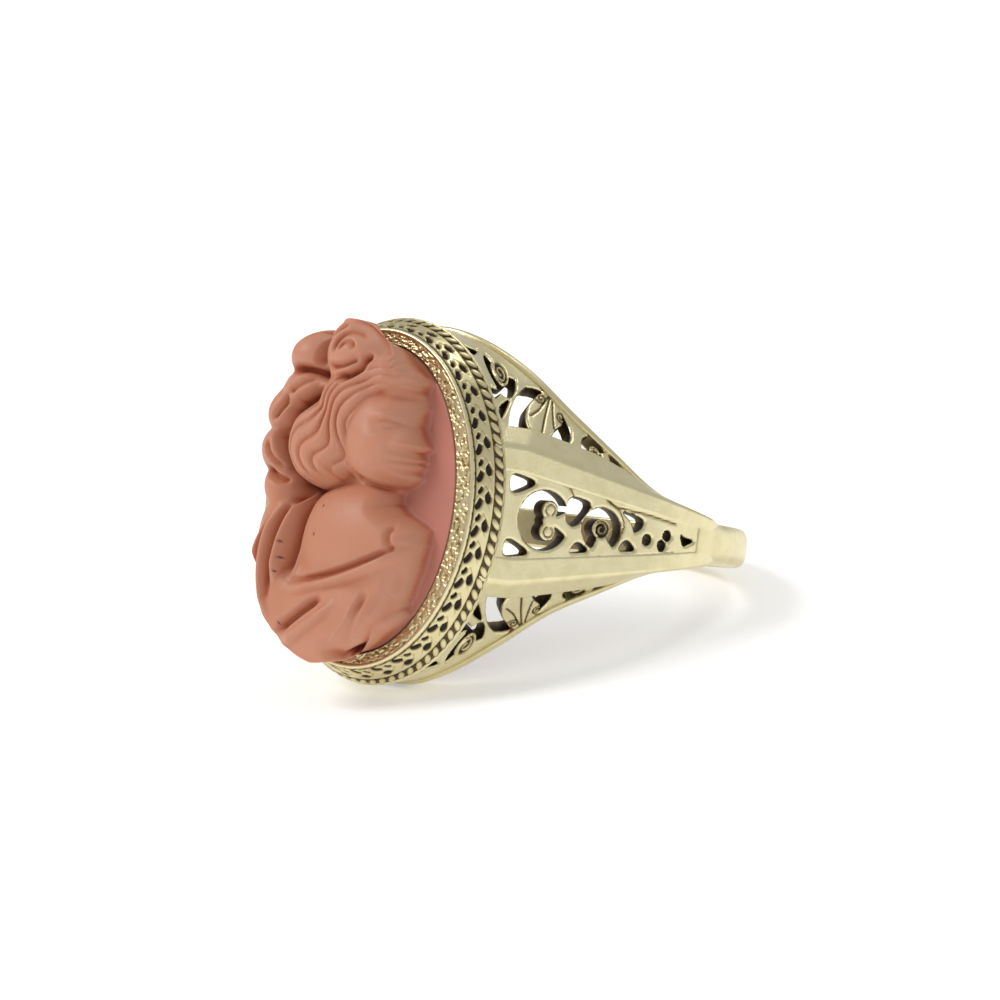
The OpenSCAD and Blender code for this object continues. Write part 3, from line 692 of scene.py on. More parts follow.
def bar_quarter(upper):
    rows = []
    for place in BAR_PLACES:
        p = max(place, 0.0)
        q = bar_path(p) + (corner - touch) / line_l * max(-place, 0)
        out = panel_out(p)
        section = round_section(float(bar_width(place)), WALL_T, BAR_CORNER)
        outer = float(bar_outside(place))
        merged = ease((place - BAR_FADE_START) / BAR_FADE_L)
        down = wall_down(1 + p / bar_l, upper)
        side = down / max(abs(down @ out), 0.3)
        for across, depth in section:
            # The bar's outer side leans with the side wall, and the rest stands square
            lean = side * -depth if across < 0.3 else out * depth
            at = np.array([q[0], outer - across, q[1]]) + lean
            rows.append(at - out * BAR_SUNK * merged - [0, BAR_IN * merged, 0])
    return np.array(rows)


def rail_quarter(upper):
    u = RAIL_PLACES
    down, out = wall_down(u, upper)[:, None], wall_out(u, np.full(u.shape, 0.5), upper)[:, None]
    section = round_section(RAIL_W, WALL_T, RAIL_CORNER)[None]
    points = rail(u, upper)[:, None] - down * section[..., :1] + out * (section[..., 1:] + RAIL_RISE)
    points[u < 0.001, :, 0] = 0
    merged = ease((u - RAIL_FADE_START) / RAIL_FADE_L)[:, None]
    points[..., 1] -= RAIL_IN * merged
    return points * (1 + [RAIL_OUT, 0, RAIL_OUT] * merged[..., None])


def shank():
    """The plain back of the ring, a flat half-round strip from where the bars meet."""
    u = np.linspace(SHANK_START, 3, 90)
    half_out = bar_outside(run(u))
    half_in = np.minimum(rail_half(rail_angle(u)), half_out)
    short = 1 - on_circle(np.radians(np.linspace(0, 90, 9)))
    rows = []
    for middle, w_out, w_in in zip(bar_path(run(u)), half_out, half_in):
        r_out = np.hypot(*middle)
        inner = [w_in, FINGER_R] + short[::-1] * [-SHANK_INNER_ROUND, SHANK_INNER_ROUND]
        outer = [w_out, r_out] - short * [SHANK_ROUND_W, SHANK_ROUND_H]
        half = np.concatenate([inner, outer])
        x, z = middle / r_out
        rows.append([(x * r, y, z * r) for y, r in np.concatenate([half, half[::-1] * [-1, 1]])])
    points = np.array(rows)
    points = np.concatenate([points, (points * [-1, 1, 1])[::-1][1:]])
    n, m = points.shape[:2]
    ends = [list(range(m)), list(range(n * m - 1, (n - 1) * m - 1, -1))]
    faces = list(grid_faces(n, m, False, True)) + ends
    piece = new_piece("shank", points.reshape(-1, 3), faces, gold, patina=np.full(n * m, 0.03))
    tidy_normals(piece)
    keep_gold(piece)


four_ways("bars", bar_quarter, len(BAR_PLACES), SECTION_POINTS, 0.0)
four_ways("rails", rail_quarter, len(RAIL_PLACES), SECTION_POINTS, 0.06)
shank()


# Pierced side walls
# Cast filigree sheets between the bars and the rails, one over and one under the finger: scrolls
# with a volute in each eye, leaves, a palmette in the large window beside the bar. They lie
# lower than the bars, and every strip between two gaps is rubbed round like wire.
# Gaps are outlines of [place u, place v]: v runs from the bar's edge at 0 to the rail at 1.
SIDE_GAPS = [
    [(0.36, 0.14), (0.50, 0.12), (0.52, 0.60)],
    [(0.70, 0.07), (0.79, 0.09), (0.83, 0.42)],
    [(0.835, 0.08), (0.912, 0.10), (0.91, 0.52)],
    [(1.20, 0.07), (1.335, 0.09), (1.29, 0.42)],
    [(1.455, 0.87), (1.47, 0.40), (1.54, 0.87)],
    [(1.43, 0.14), (1.55, 0.18), (1.605, 0.55), (1.555, 0.62), (1.50, 0.45)],
    [(1.61, 0.18), (1.70, 0.55), (1.635, 0.62)],
    [(1.66, 0.72), (1.79, 0.74), (1.79, 0.85), (1.66, 0.86)],
    [(1.09, 0.93), (0.985, 0.86), (0.94, 0.60), (0.945, 0.32), (1.02, 0.09), (1.12, 0.08), (1.225, 0.14),
     (1.285, 0.62), (1.20, 0.91), (1.235, 0.72), (1.195, 0.52), (1.18, 0.34), (1.13, 0.25), (1.075, 0.30),
     (1.04, 0.44), (1.025, 0.62), (1.055, 0.80)],
]
# Half of the lens-shaped gap at the wall's middle
LENS_GAP = [(0, 0.58), (0.14, 0.64), (0.27, 0.73), (0.14, 0.81), (0, 0.86)]
# Hooks: [u, v, half length, half height, size of the scroll inside, turn, start, sweep]
SIDE_HOOKS = [
    (0.75, 0.58, 1.35, 1.2, 0.55, 22, 150, 230),
    (1.395, 0.56, 0.85, 0.78, 0.45, 10, -30, -300),
]
# Palmette: engraved lines on its three petals, from the rail outwards
PETAL_LINES = [
    [(1.12, 0.9), (1.09, 0.62), (1.06, 0.5)], [(1.13, 0.9), (1.13, 0.6), (1.135, 0.34)],
    [(1.15, 0.88), (1.17, 0.66), (1.185, 0.5)],
]
# Small volutes cut on its petals: [u, v, size, hand, start]
PETAL_VOLUTES = [(1.085, 0.8, 0.3, 1, 200), (1.21, 0.76, 0.3, -1, -20)]
VOLUTE_TURNS = 1.45
VOLUTE_CLOSE = 0.78
EYE_DEPTH = 0.14
EYE_PATINA = 0.85
# Width, depth and patina of the engraved lines
PETAL_CUT = (0.075, 0.07, 0.8)
SIDE_SINK = 0.12
WIRE_ROUND = 0.1
WIRE_RISE = 0.09
POINT_GAP = 0.08
PANEL_END = 1.9
PANEL_SIDES = (0.015, 0.985)

fine_u = np.linspace(0, PANEL_END + 0.02, 800)
middle_line = wall(fine_u, np.full(fine_u.shape, 0.5))
fine_s = run_length(middle_line)
fine_l = np.linalg.norm(rail(fine_u) - edge(fine_u), axis=1)


def side_flat(u, v):
    """A place on the side wall as flat millimetres: along its middle line, and down across it."""
    u = np.asarray(u, float)
    s = np.interp(np.abs(u), fine_u, fine_s) * np.where(u < 0, -1, 1)
    return np.stack([s, (np.asarray(v, float) - 0.5) * np.interp(np.abs(u), fine_u, fine_l)], -1)


def side_solid(flat, height, upper):
    u = np.interp(np.abs(flat[:, 0]), fine_s, fine_u)
    v = 0.5 + flat[:, 1] / np.interp(u, fine_u, fine_l)
    points = wall(u, v, upper) + wall_out(u, v, upper) * height[:, None]
    points[:, 0] *= np.where(flat[:, 0] < 0, -1, 1)
    return points


def rounded(outline, turns=2, gap=0.07):
    """A closed outline with its corners cut round, in even steps."""
    p = np.asarray(outline, float)
    for _ in range(turns):
        q = np.roll(p, -1, 0)
        p = np.stack([p * 0.8 + q * 0.2, p * 0.2 + q * 0.8], 1).reshape(-1, 2)
    closed = np.vstack([p, p[:1]])
    d = run_length(closed)
    n = max(8, int(d[-1] / gap))
    t = np.arange(n) * d[-1] / n
    return np.stack([np.interp(t, d, closed[:, 0]), np.interp(t, d, closed[:, 1])], 1)


def hook(half_l, half_h, inner, turned, start, sweep, steps=24):
    """A C-shaped gap round a scroll, about its own middle."""
    a = np.radians(start + sweep * np.linspace(0, 1, steps + 1))
    arc = on_circle(a) * [half_l, half_h]
    p = np.concatenate([arc, inner * arc[::-1]])
    c, s = on_circle(math.radians(turned))
    return p @ np.array([[c, s], [-s, c]])


def inside(points, outline):
    """Which points lie inside a closed outline."""
    x, y = points[:, 0], points[:, 1]
    hit = np.zeros(len(points), bool)
    for (ax, ay), (bx, by) in zip(outline, np.roll(outline, -1, 0)):
        crosses = (ay > y) != (by > y)
        if by != ay:
            hit ^= crosses & (x < (bx - ax) * (y - ay) / (by - ay) + ax)
    return hit


def in_metal(points, border, gaps):
    """Which points lie inside the border and outside every gap."""
    metal = inside(points, border)
    for gap in gaps:
        metal &= ~inside(points, gap)
    return metal


def nearest(points, targets):
    """Distance from each point to the nearest target."""
    best = np.full(len(points), 1e9)
    for i in range(0, len(points), 2000):
        d = points[i:i + 2000, None] - targets[None]
        best[i:i + 2000] = np.sqrt((d * d).sum(-1).min(1))
    return best


def path_distance(points, path):
    """Distance from each point to a path of straight runs."""
    best = np.full(points.shape[:-1], 1e9)
    for a, b in zip(path[:-1], path[1:]):
        ab = b - a
        t = clamp01(((points - a) @ ab) / (ab @ ab))
        best = np.minimum(best, np.linalg.norm(points - a - t[..., None] * ab, axis=-1))
    return best


def on_line(points, path, half_w):
    """0 to 1 closeness to a path."""
    return (1 - clamp01(path_distance(points, path) / half_w) ** 2) ** 2


def volute(middle, size, hand, start):
    """A spiral path winding in on an eye."""
    t = np.linspace(0, 1, 40)
    r = size * (1 - VOLUTE_CLOSE * t)
    a = np.radians(start) + hand * t * 2 * math.pi * VOLUTE_TURNS
    return middle + r[:, None] * on_circle(a)


def carved(at, eyes, lines, half_w, depth, stain):
    """Relief and patina of the channels round the scrolls' eyes and of the engraved lines."""
    relief, patina = np.zeros(len(at)), np.zeros(len(at))
    for path, middle, size in eyes:
        near = clamp01(1.15 - np.linalg.norm(at - middle, axis=1) / size)
        channel = ease(near * 4) * (1 - on_line(at, path, size * 0.2))
        relief -= EYE_DEPTH * channel
        patina = np.maximum(patina, EYE_PATINA * channel)
    for path in lines:
        cut = on_line(at, path, half_w)
        relief -= depth * cut
        patina = np.maximum(patina, stain * cut)
    return relief, patina


def pierced_sheet(border, gaps, to_solid, carve, sink):
    """A sheet with gaps cut through it, rounded at every edge. carve(flat) gives relief and patina."""
    low, high = border.min(0), border.max(0)
    xs = np.arange(low[0], high[0], POINT_GAP)
    ys = np.arange(low[1], high[1], POINT_GAP * 0.87)
    grid = np.stack(np.meshgrid(xs, ys), -1)
    grid[::2, :, 0] += POINT_GAP / 2
    grid = grid.reshape(-1, 2)
    edges_at = np.concatenate([border] + gaps)
    grid = grid[in_metal(grid, border, gaps)]
    grid = grid[nearest(grid, edges_at) > 0.05]
    flat = np.concatenate([edges_at, grid])
    links, start = [], 0
    for outline in [border] + gaps:
        n = len(outline)
        links += [(start + i, start + (i + 1) % n) for i in range(n)]
        start += n
    verts, _, faces, _, _, _ = delaunay_2d_cdt([Vector(p) for p in flat], links, [], 0, 1e-5)
    flat = np.array([(v.x, v.y) for v in verts])
    faces = np.array([f for f in faces if len(f) == 3])
    faces = faces[in_metal(flat[faces].mean(1), border, gaps)]
    area = np.cross(flat[faces[:, 1]] - flat[faces[:, 0]], flat[faces[:, 2]] - flat[faces[:, 0]])
    faces[area < 0] = faces[area < 0][:, ::-1]
    d = nearest(flat, np.concatenate(gaps))
    relief, stain = carve(flat)
    wire = WIRE_RISE * np.sqrt(1 - (1 - clamp01(d / WIRE_ROUND)) ** 2)
    height = wire + relief - sink - WIRE_RISE
    outer = to_solid(flat, height)
    inner = to_solid(flat, np.full(len(flat), -WALL_T))
    n = len(flat)
    edges = np.concatenate([faces[:, [0, 1]], faces[:, [1, 2]], faces[:, [2, 0]]])
    _, index, count = np.unique(np.sort(edges, axis=1), axis=0, return_index=True, return_counts=True)
    rim = edges[index[count == 1]]
    # The gap's wall darkens at once below its edge
    half_way = to_solid(flat, height - 0.07)
    sides = [(b, a, n + a, n + b) for a, b in rim] + [(n + b, n + a, 2 * n + a, 2 * n + b) for a, b in rim]
    points = np.concatenate([outer, half_way, inner])
    all_faces = [tuple(f) for f in faces] + [tuple(f[::-1] + 2 * n) for f in faces] + sides
    patina = np.concatenate([stain, np.full(n, 0.75), np.full(n, 0.45)])
    used = np.zeros(3 * n, bool)
    for f in all_faces:
        used[list(f)] = True
    new = np.cumsum(used) - 1
    return points[used], [tuple(new[list(f)]) for f in all_faces], patina[used]


def add_sheets(name, sheets):
    """One piece from sheets of [points, faces, patina, mirroring]."""
    all_points, all_faces, held, base = [], [], [], 0
    for points, faces, patina, flip in sheets:
        all_points.append(points * flip)
        inside_out = np.prod(flip) < 0
        all_faces += [tuple(i + base for i in (f[::-1] if inside_out else f)) for f in faces]
        held.append(patina)
        base += len(points)
    piece = new_piece(name, np.concatenate(all_points), all_faces, gold, patina=np.concatenate(held))
    tidy_normals(piece)
    soften(piece, 55)
    keep_gold(piece)


def side_walls():
    """One sheet runs from shoulder to shoulder over the finger, and one, a little flatter, under it."""
    us = np.linspace(-PANEL_END, PANEL_END, 260)
    top, bottom = (side_flat(us, np.full(us.shape, v)) for v in PANEL_SIDES)
    border = np.concatenate([top, bottom[::-1]])
    gaps, eyes = [], []
    for outline in SIDE_GAPS:
        flat = side_flat(*np.array(outline).T)
        gaps += [rounded(flat), rounded(flat * [-1, 1])]
    half = side_flat(*np.array(LENS_GAP).T)
    gaps.append(rounded(np.concatenate([half, (half * [-1, 1])[-2:0:-1]])))
    for u, v, half_l, half_h, inner, turned, start, sweep in SIDE_HOOKS:
        middle = side_flat(u, v)
        shape = rounded(hook(half_l, half_h, inner, turned, start, sweep), turns=1) + middle
        gaps += [shape, shape * [-1, 1]]
        size = inner * min(half_l, half_h) * 0.82
        eyes.append((volute(middle, size, 1 if sweep > 0 else -1, start + turned), middle, size))
    lines = [side_flat(*np.array(line).T) for line in PETAL_LINES]
    lines += [volute(side_flat(u, v), size, hand, start) for u, v, size, hand, start in PETAL_VOLUTES]

    def carve(flat):
        return carved(np.stack([np.abs(flat[:, 0]), flat[:, 1]], 1), eyes, lines, *PETAL_CUT)

    sheets = []
    for upper in (1, 0):
        sheet = pierced_sheet(
            border, gaps, lambda flat, height: side_solid(flat, height, upper), carve, SIDE_SINK
        )
        sheets.append((*sheet, [1, 1 if upper else -1, 1]))
    add_sheets("side_filigree", sheets)


side_walls()


# Pierced middle panels
# The narrow sheet between the two bars of each shoulder: corner gaps, a ring round a scroll, a
# second scroll, leaf-shaped gaps, three drilled dots and a wedge where the bars meet.
# Gaps are outlines of [distance down from the bezel, distance across].
MIDDLE_GAPS = [
    [(0.5, 1.95), (2.2, 1.6), (0.65, 0.85)],
    [(0.55, -1.95), (2.2, -1.65), (0.7, -0.95)],
    [(3.72, 1.25), (5.15, 1.02), (4.25, -0.25), (3.62, 0.1)],
    [(3.95, -1.38), (5.2, -1.2), (4.45, -0.75)],
    [(6.5, 0.9), (7.85, 0.62), (7.8, 0.2), (7.35, -0.1), (7.2, 0.4)],
    [(6.55, -0.98), (7.0, -0.35), (7.65, -0.88)],
    [(9.95, 0.2), (10.3, 0.03), (11.05, -0.03), (10.2, -0.42)],
]
MIDDLE_DOTS = [(8.1, -0.3), (8.95, -0.47), (9.2, 0)]
DOT_R = 0.25
MIDDLE_HOOK = (5.62, -0.1, 1.05, 0.98, 0.45, 0, 250, -300)
# The ring nearest the bezel, open towards the shank, where a leaf of two lobes grows into it
RING_MIDDLE = np.array([2.55, -0.05])
RING_R = 1.36
LOBE_MIDDLE = np.array([0.26, 0.5])
LOBE_R = 0.43
LOBE_LINE_R = 0.24
# Lines engraved along the ribbons
MIDDLE_LINES = [
    [(0.75, 2.15), (2.3, 2.02), (3.02, 1.93), (3.7, 1.55), (4.05, 1.1), (4.15, 0.55)],
    [(3.7, 1.58), (3.95, 1.7), (4.74, 1.78), (5.52, 1.5), (5.88, 1.16), (6.25, 1.0), (7.9, 0.86),
     (9.6, 0.6)],
    [(5.7, 1.3), (6.4, 0.9), (6.72, 0.45), (6.78, 0.1), (6.62, -0.4), (6.35, -0.8)],
    [(0.6, -2.15), (3, -1.98), (6, -1.45), (9.6, -0.72)],
]
LINE_CUT = (0.07, 0.05, 0.55)
MIDDLE_SINK = 0.02
MIDDLE_L = 12.4
# The sheet's sides lie hidden in the bars
IN_BARS = 0.12


def middle_solid(flat, height):
    q = bar_path(flat[:, 0])
    return np.stack([q[:, 0], flat[:, 1], q[:, 1]], 1) + panel_out(flat[:, 0]) * height[:, None]


def arc_of(first, last, count):
    return on_circle(np.radians(np.linspace(first, last, count)))


def middle_panels():
    p = np.linspace(0.0, MIDDLE_L, 120)
    half = np.maximum(bar_outside(p) - bar_width(p), 0.02) + IN_BARS
    border = np.concatenate([np.stack([p, half], 1), np.stack([p, -half], 1)[::-1]])
    gaps = [rounded(o) for o in MIDDLE_GAPS]
    gaps += [np.array(at) + DOT_R * arc_of(0, 340, 18) for at in MIDDLE_DOTS]
    down, across, half_l, half_h, inner, turned, start, sweep = MIDDLE_HOOK
    eye = np.array([down, across])
    gaps.append(rounded(hook(half_l, half_h, inner, turned, start, sweep), turns=1) + eye)
    size = inner * half_l * 0.82
    lobe = LOBE_MIDDLE + LOBE_R * arc_of(-40, 235, 16)
    ring_gap = np.concatenate([RING_R * arc_of(25, 335, 40), lobe * [1, -1], [(-0.08, 0)], lobe[::-1]])
    gaps.append(rounded(ring_gap, turns=1) + RING_MIDDLE)
    lobe_line = LOBE_MIDDLE + LOBE_LINE_R * arc_of(-60, 250, 24)
    lines = [np.array(line) for line in MIDDLE_LINES]
    lines += [RING_MIDDLE + lobe_line, RING_MIDDLE + lobe_line * [1, -1]]
    eyes = [(volute(eye, size, -1, start), eye, size)]
    sheet = pierced_sheet(
        border, gaps, middle_solid, lambda flat: carved(flat, eyes, lines, *LINE_CUT), MIDDLE_SINK
    )
    add_sheets("middle_filigree", ((*sheet, [1, 1, 1]), (*sheet, [-1, 1, 1])))


middle_panels()


# Cameo
# Salmon coral, carved by hand in high relief and rubbed to a satin: a rose, a second flower and
# leaves over waved hair, the head turned to the right, bare chest and draped cloth. Its colour
# deepens to orange in the hollows, where it is painted shade, and to mauve on the bare ground.
# Domes: [across, along, half width, half length, turn, height]
DOMES = [
    (-0.05, 6.45, 1.95, 1.95, 0, 3.15), (-2.75, 6.15, 1.5, 1.3, 0, 2.85),
    (-2.95, 4.75, 1.75, 1.05, 38, 2.75), (-4.1, 3.55, 1, 1.3, -15, 2.65),
    (1.4, 5.9, 2.1, 1.7, -20, 2.4), (-0.2, 4.5, 2.4, 1.5, -12, 2.65), (-0.1, 3.4, 1.8, 1.9, 0, 2.6),
    (-1.6, 2.3, 2.2, 2.2, 0, 2.75), (-4.1, 1.7, 1, 1.35, 8, 2.75), (-3.8, 0.1, 1.05, 1.35, 10, 2.55),
    (0.5, 0.1, 2.2, 1.6, -15, 1.3), (0.5, -2.2, 3.5, 2.9, 0, 2.5), (2.7, -2.1, 2.1, 1.9, -20, 2.05),
    (-3.3, -3.3, 1.8, 4.2, 4, 2.6), (-0.5, -5.5, 4.3, 2.9, -10, 2.5), (2.5, -4, 2.4, 3.4, -16, 1.9),
]
FACE = (1.35, 2.8, 2.5, 2.5, 8, 2.62)
# Ridges and grooves, each an arc through three places: [start, middle, end, half width, height]
STROKES = [
    ((-0.6, 6.2), (0.0, 7.25), (0.95, 6.85), 0.2, -0.4),
    ((-0.3, 6.4), (0.15, 6.85), (0.5, 6.5), 0.18, -0.35),
    ((-1.45, 6), (-1.15, 7.1), (-0.1, 7.65), 0.2, -0.4),
    ((-1.15, 5.75), (-0.2, 5.75), (0.85, 6.3), 0.2, -0.45),
    ((-0.6, 5.25), (0.5, 5.55), (1.25, 6.5), 0.3, -0.8),
    ((-1.85, 5.6), (-1.75, 6.6), (-1.6, 7.3), 0.25, -0.5),
    ((-3.3, 5.35), (-2.3, 5.45), (-1.2, 5.05), 0.28, -0.8),
    ((-3.4, 4.2), (-2.6, 4.8), (-1.8, 5.2), 0.18, -0.35),
    ((-3.2, 3.6), (-2.4, 4.1), (-1.3, 4.75), 0.28, -0.6),
    ((-4.2, 3), (-3.7, 3.7), (-3.4, 4.4), 0.18, -0.35),
    ((-3.9, 2.7), (-3.35, 1.6), (-3, 0.7), 0.3, -0.8),
    ((-4.2, 2.2), (-3.9, 1.4), (-3.4, 0.9), 0.18, -0.3),
    ((-4.3, 1), (-3.7, 0.5), (-3, 0.3), 0.26, -0.5), ((-2.9, 0.6), (-2.6, 0), (-2.8, -0.7), 0.35, -0.7),
    ((0.2, 1.15), (1.2, 0.66), (2.5, 0.56), 0.25, -0.35),
    ((-1.8, 0), (-2.2, -2.2), (-2.45, -4.2), 0.36, -0.65),
    ((-2.2, 0.1), (-2.75, -2.3), (-2.95, -4.4), 0.28, 0.4),
    ((-2.7, -0.2), (-3.25, -2.8), (-3.3, -5.2), 0.26, -0.4),
    ((-3.1, -0.6), (-3.75, -3.2), (-3.2, -6.2), 0.3, 0.35),
    ((-3.6, -1.2), (-4.2, -3.7), (-3.5, -6.1), 0.24, -0.36),
    ((-3.9, -1.6), (-4.5, -3.9), (-3.2, -6.9), 0.26, 0.3),
    ((-2.5, -4.2), (0.2, -3.65), (4, -1.75), 0.24, -0.28),
    ((-2.6, -4.5), (0.2, -4), (4.1, -2.1), 0.34, 0.35),
    ((-2.9, -6.6), (-1.5, -5.7), (0, -4.7), 0.3, -0.5),
    ((-2.6, -7.1), (-0.9, -6.2), (0.8, -4.9), 0.32, 0.25),
    ((3.5, -3), (2.95, -4.8), (2, -6.2), 0.26, -0.3),
    ((2.1, -4.2), (1.6, -5.6), (0.8, -6.9), 0.26, -0.3),
    ((-0.1, -7.1), (1.1, -6.3), (1.7, -5), 0.26, 0.2),
    ((3.1, -1.1), (3, -1.8), (3.3, -2.4), 0.24, -0.3),
]
# The face is a plain calm one in thirds: brow, base of the nose and chin evenly spaced
FACE_BUMPS = np.array([
    (2.4, 3.3, 0.42, 0.28, -0.34), (2.3, 3.3, 0.24, 0.13, 0.2), (2.35, 3.72, 0.5, 0.14, 0.12),
    (2.95, 3.0, 0.18, 0.42, 0.24), (3.1, 2.58, 0.2, 0.2, 0.28), (2.85, 2.42, 0.16, 0.14, 0.15),
    (1.75, 2.6, 0.6, 0.42, 0.1), (2.95, 1.9, 0.22, 0.11, 0.13), (2.9, 1.52, 0.22, 0.12, 0.12),
    (2.5, 1.7, 0.1, 0.08, -0.1), (2.9, 1.27, 0.25, 0.1, -0.06), (2.75, 0.98, 0.34, 0.24, 0.13),
    (2.1, 1.25, 0.5, 0.4, -0.06),
])
FACE_STROKES = [
    ((1.95, 3.36), (2.3, 3.5), (2.7, 3.36), 0.07, -0.12),
    ((2.02, 3.26), (2.32, 3.15), (2.6, 3.24), 0.06, -0.08),
    ((1.85, 3.66), (2.3, 3.84), (2.85, 3.66), 0.14, 0.04),
    ((2.84, 2.62), (2.76, 2.42), (2.9, 2.24), 0.1, -0.06),
    ((2.55, 1.69), (2.8, 1.71), (3.25, 1.74), 0.08, -0.11),
]
# The bust's front against the bare ground: [along, across]
FRONT = np.array([
    (-7.2, 0.8), (-6.66, 1.7), (-5.66, 2.75), (-4.2, 3.42), (-3.05, 3.8), (-1.9, 4.05), (-1.2, 4),
    (-0.9, 3.5), (-0.6, 2.75), (-0.2, 2.25), (0.3, 2.15), (0.55, 2.35), (0.7, 2.85), (0.85, 3.1),
    (1.05, 3.2), (1.3, 3.06), (1.46, 3.16), (1.58, 3.22), (1.72, 3.16), (1.88, 3.26), (2.0, 3.2),
    (2.2, 3.18), (2.3, 3.34), (2.42, 3.48), (2.55, 3.46), (2.8, 3.3), (3.1, 3.12), (3.4, 2.99),
    (3.6, 3.02), (3.85, 3.03), (4.2, 3.05), (4.6, 2.98), (4.95, 2.82), (5.2, 2.85), (5.5, 3),
    (5.9, 2.95), (6.5, 2.6), (7.05, 1.95), (7.5, 1.4), (8, 0.6),
])
FRONT_ROUND = 0.95
# Locks of hair run from the brow back and down to the nape, between these two lines
HAIR_NEAR = [(3.0, 5.0), (2.1, 5.02), (1.25, 4.5), (0.75, 3.6), (0.5, 2.75), (0.3, 1.9), (0.35, 1.0)]
HAIR_FAR = [(2.6, 6.5), (1.2, 6.3), (-0.6, 5.3), (-1.9, 4.4), (-3.0, 3.1), (-3.3, 1.5), (-2.5, 0.1)]
LOCKS = 5
LOCK_RISE = 0.36
# How far the carving leans out past the stone's rim: [turn, share]
REACH = np.array([
    (58, 0), (72, 0.1), (85, 0.19), (110, 0.23), (125, 0.21), (136, 0.12), (150, 0.1), (165, 0.06),
    (185, 0.02), (200, 0.04), (215, 0.12), (235, 0.18), (262, 0.18), (280, 0.13), (292, 0.05), (300, 0),
])
# Natural pin holes in the coral
PIN_HOLES = [
    (-3.33, 2.75), (-3.19, 1.94), (-1.67, 4.57), (-2.66, -2.44), (-2.66, -3.17), (-2.8, -3.82),
    (-2.6, -6.13), (-0.97, -1.94), (-0.83, -0.61),
]
STONE_STEPS = 150
GROUND_SWELL = 0.15
# The carving leans out most at this share of the way to the rim
WIDEST = 0.9375
# Colours from the tops to the hollows, darkening there as painted shade, of the bare ground, and of the pin
# holes
CORAL_TOPS_TO_SHADE = [
    (0.0, (0.57, 0.265, 0.17, 1)), (1.0, (0.36, 0.085, 0.035, 1)), (0.2, (0.56, 0.23, 0.135, 1)),
    (0.55, (0.48, 0.145, 0.068, 1)),
]
CORAL_GROUND = [(0.0, (0.56, 0.225, 0.165, 1)), (0.3, (0.49, 0.18, 0.135, 1))]
CORAL_PIN = (0.05, 0.012, 0.006, 1)


def stroke_height(points, start, middle, end, half_w, height):
    """The height that one stroke adds, fading out at its two ends."""
    a, b, c = (np.array(p, float) for p in (start, middle, end))
    ab, ac = b - a, c - a
    k = 2 * (ab[0] * ac[1] - ab[1] * ac[0])
    bb, cc = ab @ ab, ac @ ac
    centre = a + np.array([ac[1] * bb - ab[1] * cc, ab[0] * cc - ac[0] * bb]) / k
    radius = np.linalg.norm(a - centre)
    sign = 1 if k > 0 else -1
    first = math.atan2(*(a - centre)[::-1])
    sweep = (sign * (math.atan2(*(c - centre)[::-1]) - first)) % (2 * math.pi)
    d = points - centre
    off = np.abs(np.linalg.norm(d, axis=-1) - radius) / half_w
    f = (sign * (np.arctan2(d[..., 1], d[..., 0]) - first)) % (2 * math.pi) / sweep
    fade = clamp01(np.minimum(5 * f, 5 * (1 - f)))
    return np.where((off < 1) & (f < 1), height * (1 - clamp01(off) ** 2) ** 2 * fade, 0)


def dome_height(points, x, y, w, l, turned, h, power):
    c, s = math.cos(math.radians(turned)), math.sin(math.radians(turned))
    dx, dy = points[..., 0] - x, points[..., 1] - y
    q = ((c * dx + s * dy) / w) ** 2 + ((c * dy - s * dx) / l) ** 2
    return h * clamp01(1 - q) ** power


def front_depth(points):
    """How far inside the bust's front each point lies, below 0 on the bare ground."""
    depth = path_distance(points, FRONT[:, ::-1])
    return np.where(points[..., 0] < np.interp(points[..., 1], *FRONT.T), depth, -depth)


def hair_place(points, rows=90):
    """Each point's share across the hair and along its locks, or no share outside them."""
    t = np.linspace(0, 1, rows)
    lines = []
    for line in (HAIR_NEAR, HAIR_FAR):
        k = np.linspace(0, 1, len(line))
        lines.append(np.stack([smooth_rows(np.stack([k, at], 1), t) for at in np.array(line).T], 1))
    across, along = np.full(points.shape[:-1], -1.0), np.full(points.shape[:-1], -1.0)
    near, far = lines
    side, share = [], []
    for n, f in zip(near, far):
        d = f - n
        side.append(d[0] * (points[..., 1] - n[1]) - d[1] * (points[..., 0] - n[0]))
        share.append(((points - n) @ d) / (d @ d))
    for i in range(rows - 1):
        hit = (side[i] * side[i + 1] <= 0) & (share[i] > -0.02) & (share[i] < 1.02) & (across < 0)
        w = side[i] / np.where(side[i] == side[i + 1], 1, side[i] - side[i + 1])
        across = np.where(hit, clamp01(share[i] * (1 - w) + share[i + 1] * w), across)
        along = np.where(hit, (i + w) / (rows - 1), along)
    return across, along


def locks(points):
    """Waved locks, each round with finer hairs on it."""
    k, t = hair_place(points)
    wave = 0.55 * np.sin(2 * math.pi * (1.5 * t + 0.5 * k)) * ease(t / 0.15)
    u = LOCKS * k + wave + 0.22 * np.sin(2 * math.pi * 2.6 * t + 7 * k)
    lock = np.sqrt(clamp01(1 - (2 * (u - np.floor(u)) - 1) ** 2))
    hairs = 0.5 + 0.5 * np.cos(2 * math.pi * 4 * u)
    fade = ease(k / 0.05) * ease((1 - k) / 0.1) * ease(t / 0.05) * ease((1 - t) / 0.06)
    return np.where(k >= 0, fade * (LOCK_RISE * (lock - 0.62) + 0.025 * hairs + 0.12 * ease(k / 0.1)), 0)


